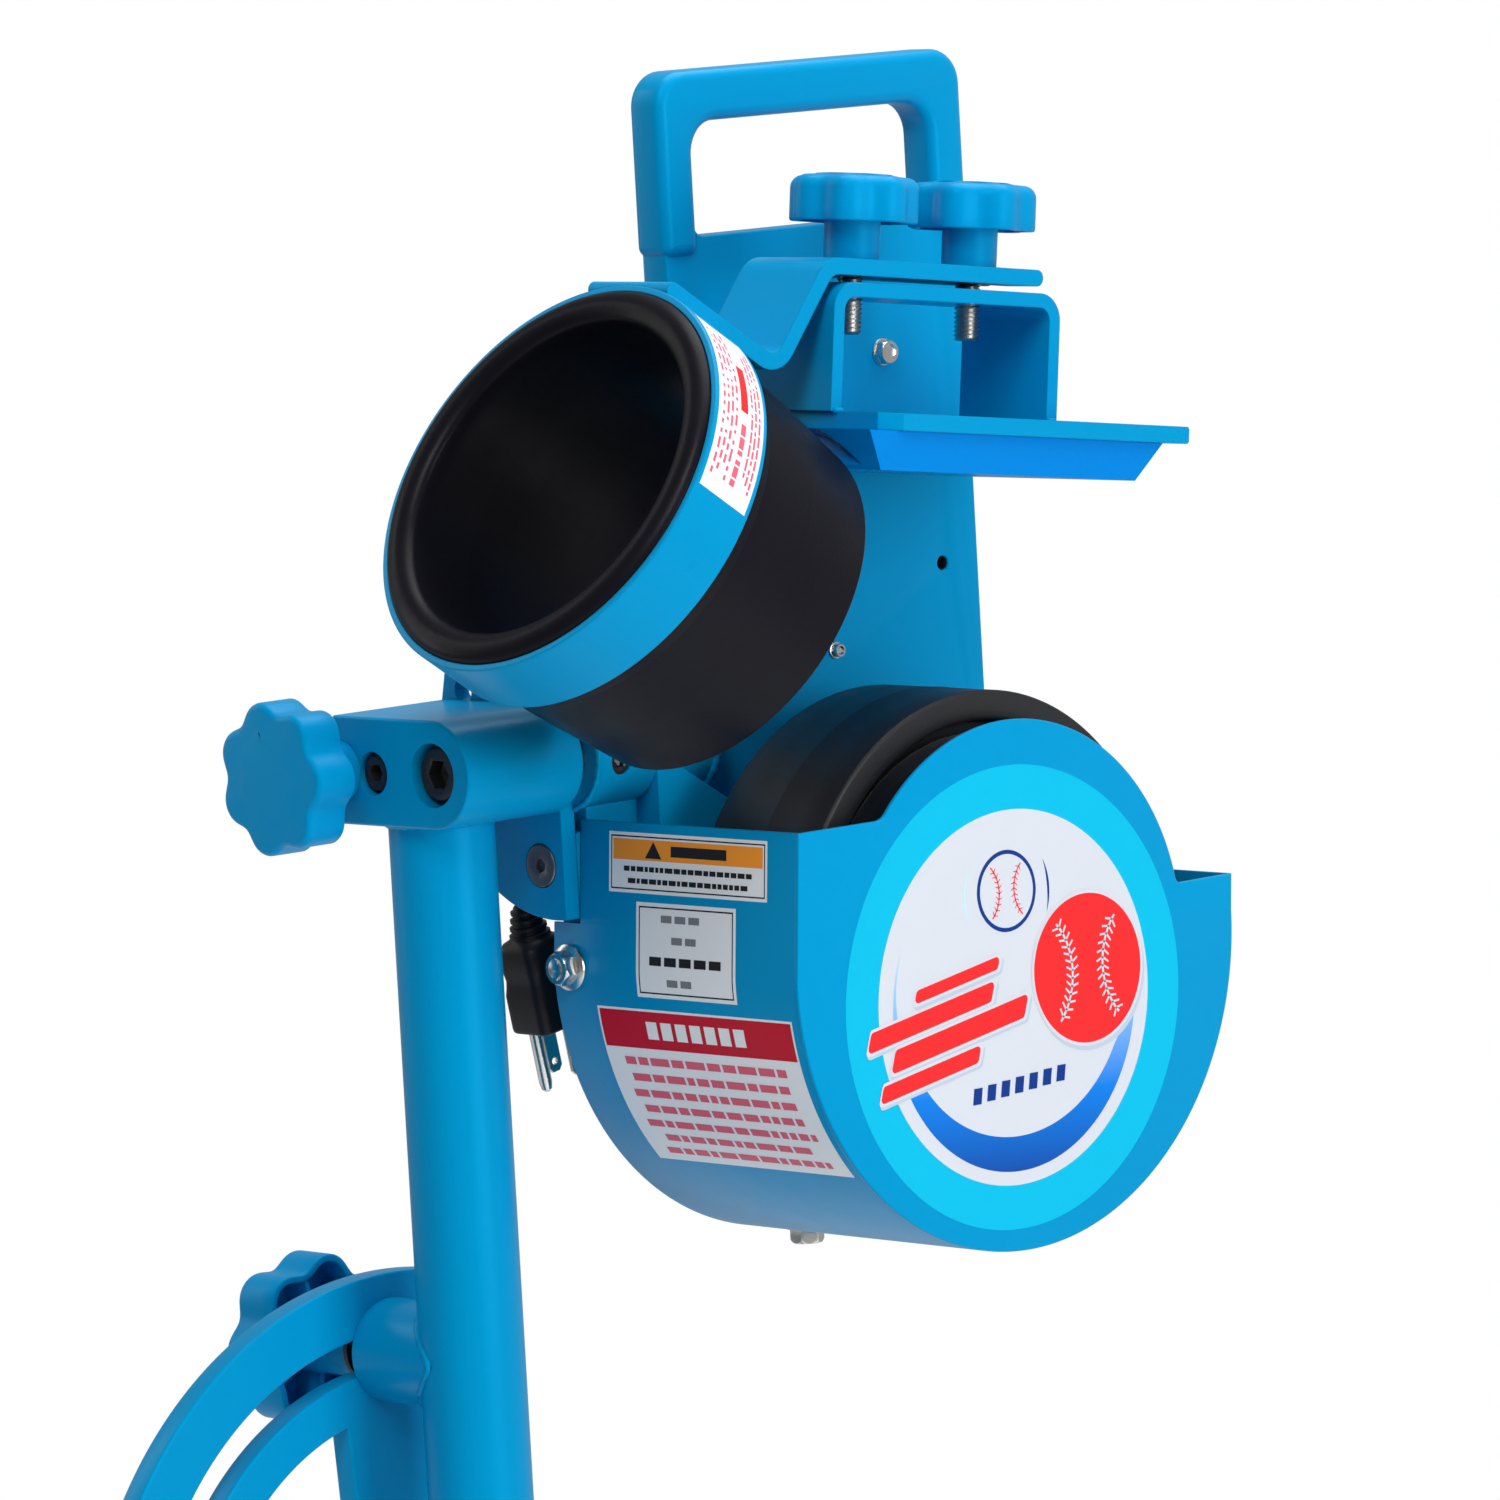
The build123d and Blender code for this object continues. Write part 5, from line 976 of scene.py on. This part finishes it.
rl = aim(HEAD, -168.85, 168.7, 76.0, (-1, 0, 0), up=(0, 0, 1))
lock_knob("roll_lock_moulding", rl, 26.3, 1.9, 17.0, 10.8, 17.0, 54.2, "roll_lock", "roll_lock_knob", 0.22)
tl = aim(MAST, 0, 200.3, 117.9, (0, 1, 0), up=(0, 0, 1))
lock_knob("tilt_lock_moulding", tl, 29.8, 2.3, 20.0, 11.5, 24.0, 36.0, "tilt_lock", "tilt_lock_knob", 0.15)
pz = J["pan_lock_turn"]
pa = Vector(pz["axis"])
pp = Vector(pz["pos_m"]) + pa * 0.00605
pm = aim(Matrix.Diagonal((0.001, 0.001, 0.001, 1)), pp.x * 1000, pp.y * 1000, pp.z * 1000, tuple(pa), up=(0, 0, 1))
lock_knob("pan_lock_moulding", pm, 25.1, 3.0, 16.0, 10.8, 14.0, 20.8, "pan_lock", "pan_lock_knob", 0.1)

# ================================================================== tilt quadrant
qo, qi, a0q, a1q = 146.0, 95.0, 70.0, 176.0
outl = arc(0, 0, qo, a0q, a1q, 90) + [(-146.0, -22.0), (-122.0, -22.0), (-37.0, -72.0), (37.0, -72.0), (30.0, 20.0)]
win = arc(0, 0, qi, 108.0, 172.0, 60) + rounded([(-94.07, 13.22), (-25.0, -12.0), (-25.0, 60.0), (-29.36, 90.35)], [0, 6, 6, 0], 6)[1:-1]
sr0, sr1 = 117.9 - 6.7, 117.9 + 6.7
slot_pts = arc(0, 0, sr1, 79, 168, 80)
e1 = (117.9 * math.cos(math.radians(168)), 117.9 * math.sin(math.radians(168)))
slot_pts += arc(e1[0], e1[1], 6.7, 168, 348, 14)[1:-1]
slot_pts += arc(0, 0, sr0, 168, 79, 80)
e0 = (117.9 * math.cos(math.radians(79)), 117.9 * math.sin(math.radians(79)))
slot_pts += arc(e0[0], e0[1], 6.7, 259, 439, 14)[1:-1]
q = plate_data(rounded_loop(outl[:-5], 0, 1)[:0] + outl, [win, slot_pts, arc(0, 0, 6.4, 0, 360, 32)[:-1]], 10.0, bevel=1.0, res=3)
piece("quadrant_plate", [q], xz(STAND, 193.0), paint, "swivel", ["tilt_quadrant"], angle=32, weld=0)

# ================================================================== mast tube and tilt boss
MT = aim(MAST, 0, 143.4, 0, (0, 0, 1), up=(1, 0, 0))
mp = [(16.1, -24.0), (18.6, -24.0), (19.05, -23.4), (19.05, 60), (19.05, 200), (19.05, 313.35), (16.1, 313.35), (16.1, -24.0)]
piece("mast_tube_visual", [lathe(mp, 128)], MT, paint, "mast", ["mast_tube"], angle=40, weld=0)

# thin weld beads where the tilt boss, mast top, head tube, sector, pad plate and channel meet their neighbours


def bead(name, pts, r, M, body, mat=paint, wob=0.18, n=12, closed=False):
    P = np.array(pts, float)
    k = len(P)
    rings = []
    for i in range(k):
        a = P[(i - 1) % k] if closed or i else P[0]
        b = P[(i + 1) % k] if closed or i < k - 1 else P[-1]
        t = (b - a) / (np.linalg.norm(b - a) + 1e-9)
        u = np.cross(t, (0.13, 0.91, 0.39))
        u /= np.linalg.norm(u)
        w = np.cross(t, u)
        rr = r * (1 + wob * math.sin(i * 1.9) + 0.08 * math.sin(i * 0.7))
        if not closed and i in (0, k - 1):
            rr *= 0.3
        th_ = np.linspace(0, 2 * math.pi, n, endpoint=False)
        rings.append(P[i] + rr * (np.outer(np.cos(th_), u) + np.outer(np.sin(th_), w)))
    d = loft_data(rings, closed=closed, cap0=not closed, cap1=not closed)
    return piece(name, [d], M, mat, body, angle=60, weld=0)


# saddle line of the tilt boss on the mast
pts = []
rb, rm = 18.9, 19.05
for i in range(96):
    t = 2 * math.pi * i / 96
    x, z = rb * math.cos(t), rb * math.sin(t)
    pts.append((x, 143.4 + math.sqrt(max(rm ** 2 - x * x, 0.0)) + 0.2, 117.9 + z))
bead("tilt_boss_weld", pts, 1.3, MAST, "mast", closed=True)
pts = [(19.25 * math.cos(t), 143.4 + 19.25 * math.sin(t), 313.3) for t in np.linspace(0, 2 * math.pi, 110, endpoint=False)]
bead("mast_top_weld", pts, 1.2, MAST, "mast", closed=True)
pts = [(19.6 * math.cos(t), 119.4, 76) for t in (0,)]
pts = [(-49.2, 119.4 + 19.7 * math.cos(t), 76 + 19.7 * math.sin(t)) for t in np.linspace(math.radians(100), math.radians(260), 60)]
pts = [(x, min(y, 200), z) for x, y, z in pts if y < 112.6]
bead("head_tube_weld", pts, 1.3, HEAD, "head")
pts = [(-106.9, 119.4 + 19.6 * math.cos(t), 76 + 19.6 * math.sin(t)) for t in np.linspace(0, 2 * math.pi, 100, endpoint=False)]
bead("sector_weld", pts, 1.1, HEAD, "head", closed=True)
pts = [(x, 112.7, 0.5) for x in np.linspace(-50, 94, 70)]
bead("pad_plate_weld", pts, 1.5, PAD, "head")
for yy in (22.8, 68.2):
    bead(f"channel_weld_{int(yy)}a", [(x, yy, 0.4) for x in np.linspace(-56.2, -51.0, 7)], 1.0, PAD, "head")
    bead(f"channel_weld_{int(yy)}b", [(x, yy, 0.4) for x in np.linspace(50.0, 54.6, 7)], 1.0, PAD, "head")
bead("channel_weld_out", [(55.6, y, 0.4) for y in np.linspace(26, 65, 30)], 1.3, PAD, "head")

# ================================================================== plug and its pins
PL = HEAD @ Matrix.Translation((-101.0, 150.0, 14.0)) @ Matrix.Rotation(math.radians(-11.0), 4, "Y")


def rr_ring(w, h, r, z, n=64):
    """Rounded rectangle ring; n is not used, each rounded corner takes 16 points."""
    pts = rounded_loop([(-w / 2, -h / 2), (w / 2, -h / 2), (w / 2, h / 2), (-w / 2, h / 2)], min(r, w / 2 - 0.01, h / 2 - 0.01), 15)
    pts = np.array(pts)
    return np.stack([pts[:, 0], pts[:, 1], np.full(len(pts), z)], 1)


R = [rr_ring(0.3, 0.3, 0.1, -40.0), rr_ring(19.9, 19.4, 3.8, -40.0), rr_ring(21.0, 20.5, 4.3, -39.5), rr_ring(21.5, 21.0, 4.5, -38.4), rr_ring(21.5, 21.0, 4.5, -26.0),
     rr_ring(20.3, 20.0, 4.5, -23.0), rr_ring(19.7, 19.4, 4.5, -20.5), rr_ring(20.5, 20.2, 4.8, -17.5), rr_ring(20.5, 20.2, 5.0, -9.5), rr_ring(18.6, 18.4, 6.0, -7.0), rr_ring(16.0, 16.0, 7.4, -6.0)]
for k in range(4):
    z = -5.4 + k * 2.9
    w = 15.0 - k * 1.4
    R += [rr_ring(w, w, w / 2, z), rr_ring(w, w, w / 2, z + 1.3), rr_ring(w - 2.4, w - 2.4, w / 2 - 1.2, z + 1.7), rr_ring(w - 2.4, w - 2.4, w / 2 - 1.2, z + 2.5)]
R += [rr_ring(7.4, 7.4, 3.7, 6.4), rr_ring(0.3, 0.3, 0.1, 6.4)]
piece("plug_moulding", [loft_data(R)], PL, pvc, "head", ["plug_body"], angle=45, weld=0)
for px_, py_ in ((4.0, 6.35), (4.0, -6.35)):
    bl = plate_data([(-3.15, -10.0), (3.15, -10.0), (3.15, 7.2), (1.6, 9.1), (-1.6, 9.1), (-3.15, 7.2)][::-1], [arc(0, 5.2, 1.3, 0, 360, 20)[:-1]], 1.5, bevel=0.25, res=2)
    m = PL @ Matrix.Translation((px_, py_, -49.9)) @ Matrix.Rotation(math.radians(-90), 4, "X")
    gather(bl, m)
gather(loft_data([ring_c(2.4, -39.5, 40), ring_c(2.4, -59.0, 40), ring_c(1.9, -61.5, 40), ring_c(0.9, -62.5, 40), ring_c(0.01, -62.5, 40)]), PL @ Matrix.Translation((-7.0, 0, 0)))
flush("plug_blades", nickel, "head", ["plug_pins"])

# ================================================================== control panel details
bcx = 31.0
YB = 113 + 12.7 + 54.0 + 3.05
DI = []
for k in range(11):
    a = math.radians(225 - 27 * k)
    for r0_, r1_ in ((19.2, 22.6 if k % 5 else 24.0),):
        c, s = math.cos(a), math.sin(a)
        w = 0.35 if k % 5 else 0.6
        DI.append((np.array([(bcx - c * r0_ - s * w, YB + 0.03, 170 + s * r0_ - c * w), (bcx - c * r1_ - s * w, YB + 0.03, 170 + s * r1_ - c * w),
                             (bcx - c * r1_ + s * w, YB + 0.03, 170 + s * r1_ + c * w), (bcx - c * r0_ + s * w, YB + 0.03, 170 + s * r0_ + c * w)]), [(0, 1, 2, 3)], 0))
V, F, I = merge(DI)
from_data("dial_scale", V, F, HEAD, [white], "head", mat_index=I)
D0 = Vector(J["speed_dial_turn"]["pos_m"])
dm = aim(Matrix.Diagonal((0.001, 0.001, 0.001, 1)), D0.x * 1000, D0.y * 1000, D0.z * 1000, (0, 1, 0), up=(0, 0, 1))
n = 192
ridge = lambda off, z: np.stack([*(lambda x, y: (x, y))(*lobes(16.2, 0.45, 24, off, n)), np.full(n, z)], 1)
R = [ring_c(3.9, -3.0, n), ring_c(3.9, 0.0, n), ring_c(15.0, 0.0, n), ridge(0.4, 0.0), ridge(0.0, 0.4), ridge(0.0, 12.5), ridge(0.6, 14.0), ridge(1.6, 14.9), ring_c(13.0, 15.0, n),
     ring_c(12.6, 14.5, n), ring_c(0.01, 14.5, n)]
piece("speed_dial_moulding", [loft_data(R, cap0=True)], dm, pvc, "dial", ["speed_dial"], angle=45, weld=0)
piece("speed_dial_pointer", [plate_data([(6.0, -0.7), (12.2, -0.7), (12.2, 0.7), (6.0, 0.7)], [], 0.5, bevel=0.1, res=1)], dm @ Matrix.Translation((0, 0, 14.7)), white, "dial",
      angle=30, weld=0)

# ================================================================== floor, light, camera
bpy.ops.mesh.primitive_circle_add(vertices=160, radius=3.2, fill_type="NGON", location=(0, 0, -0.0002))
floor = bpy.context.object
floor.name = "studio_floor"
floor.data.materials.append(material("floor_pale", (0.86, 0.87, 0.88, 1.0), 0.6, grain=(60.0, 0.02), mottle=0.01))

world = bpy.data.worlds.new("studio")
bpy.context.scene.world = world
world.use_nodes = True
wn, wl = world.node_tree.nodes, world.node_tree.links
bg = wn["Background"]
lp = wn.new("ShaderNodeLightPath")
geo = wn.new("ShaderNodeTexCoord")
sepw = wn.new("ShaderNodeSeparateXYZ")
wl.new(geo.outputs["Generated"], sepw.inputs[0])
bg2 = wn.new("ShaderNodeBackground")
bg2.inputs["Color"].default_value = (1, 1, 1, 1)
bg2.inputs["Strength"].default_value = 1.0
mixs = wn.new("ShaderNodeMixShader")
wl.new(lp.outputs["Is Camera Ray"], mixs.inputs[0])
wl.new(bg.outputs[0], mixs.inputs[1])
wl.new(bg2.outputs[0], mixs.inputs[2])
wl.new(mixs.outputs[0], wn["World Output"].inputs["Surface"])
# environment: bright sweep behind and below, darker room on the camera's left
AZ, EL = math.radians(43.0), math.radians(3.03)
hf = Vector((math.sin(AZ), math.cos(AZ), 0))
RT = Vector((math.cos(AZ), -math.sin(AZ), 0))
UPV = Vector((0, 0, 1))
FW = hf * math.cos(EL) - UPV * math.sin(EL)
UC = UPV * math.cos(EL) + hf * math.sin(EL)
dotn = wn.new("ShaderNodeVectorMath")
dotn.operation = "DOT_PRODUCT"
wl.new(geo.outputs["Generated"], dotn.inputs[0])
dotn.inputs[1].default_value = tuple(hf * 0.55 + RT * 0.75)
envr = wn.new("ShaderNodeMapRange")
envr.inputs["From Min"].default_value = -0.9
envr.inputs["From Max"].default_value = 0.9
envr.inputs["To Min"].default_value = 0.15
envr.inputs["To Max"].default_value = 0.42
wl.new(dotn.outputs["Value"], envr.inputs["Value"])
wl.new(envr.outputs["Result"], bg.inputs["Strength"])
bg.inputs["Color"].default_value = (1.0, 1.0, 1.0, 1)

target = HEAD @ Vector((-30, 60, 40))


def area(name, d, dist, w, h, power, col=(1, 1, 1)):
    li = bpy.data.lights.new(name, "AREA")
    li.shape = "RECTANGLE"
    li.size, li.size_y, li.energy, li.color = w, h, power, col
    ob = bpy.data.objects.new(name, li)
    bpy.context.scene.collection.objects.link(ob)
    dv = Vector(d).normalized()
    ob.location = target + dv * dist
    ob.rotation_mode = "QUATERNION"
    ob.rotation_quaternion = dv.to_track_quat("Z", "Y")
    return ob


area("key_right", -hf * 0.75 + RT * 0.75 + UPV * 0.08, 2.2, 1.2, 1.4, 33)
area("front_soft", -hf * 1.0 - RT * 0.25 + UPV * 0.85, 2.5, 0.6, 1.4, 26)
area("edge_left", hf * 0.35 - RT * 1.0 + UPV * 0.3, 2.3, 0.5, 1.8, 7)
area("top_soft", hf * 0.1 + RT * 0.15 + UPV * 1.0, 1.9, 1.6, 1.6, 34)

decal = HEAD @ Vector((-3.7, 0.0, -17.6))
f = 9640.0
u0, v0 = (1014.7 - 750) / f, (997.3 - 750) / f
Z0 = f / 2.80 * 0.001
pos = decal - (FW + RT * u0 - UC * v0) * Z0
cam_d = bpy.data.cameras.new("camera")
cam_d.sensor_fit = "HORIZONTAL"
cam_d.sensor_width = 36.0
cam_d.lens = f / 1500.0 * 36.0
cam_d.clip_start, cam_d.clip_end = 0.1, 50.0
cam = bpy.data.objects.new("camera", cam_d)
bpy.context.scene.collection.objects.link(cam)
mw = Matrix.Identity(4)
for i in range(3):
    mw[i][0], mw[i][1], mw[i][2], mw[i][3] = RT[i], UC[i], -FW[i], pos[i]
cam.matrix_world = mw
bpy.context.scene.camera = cam
bpy.context.scene.view_settings.view_transform = "Standard"
bpy.context.scene.view_settings.look = "None"
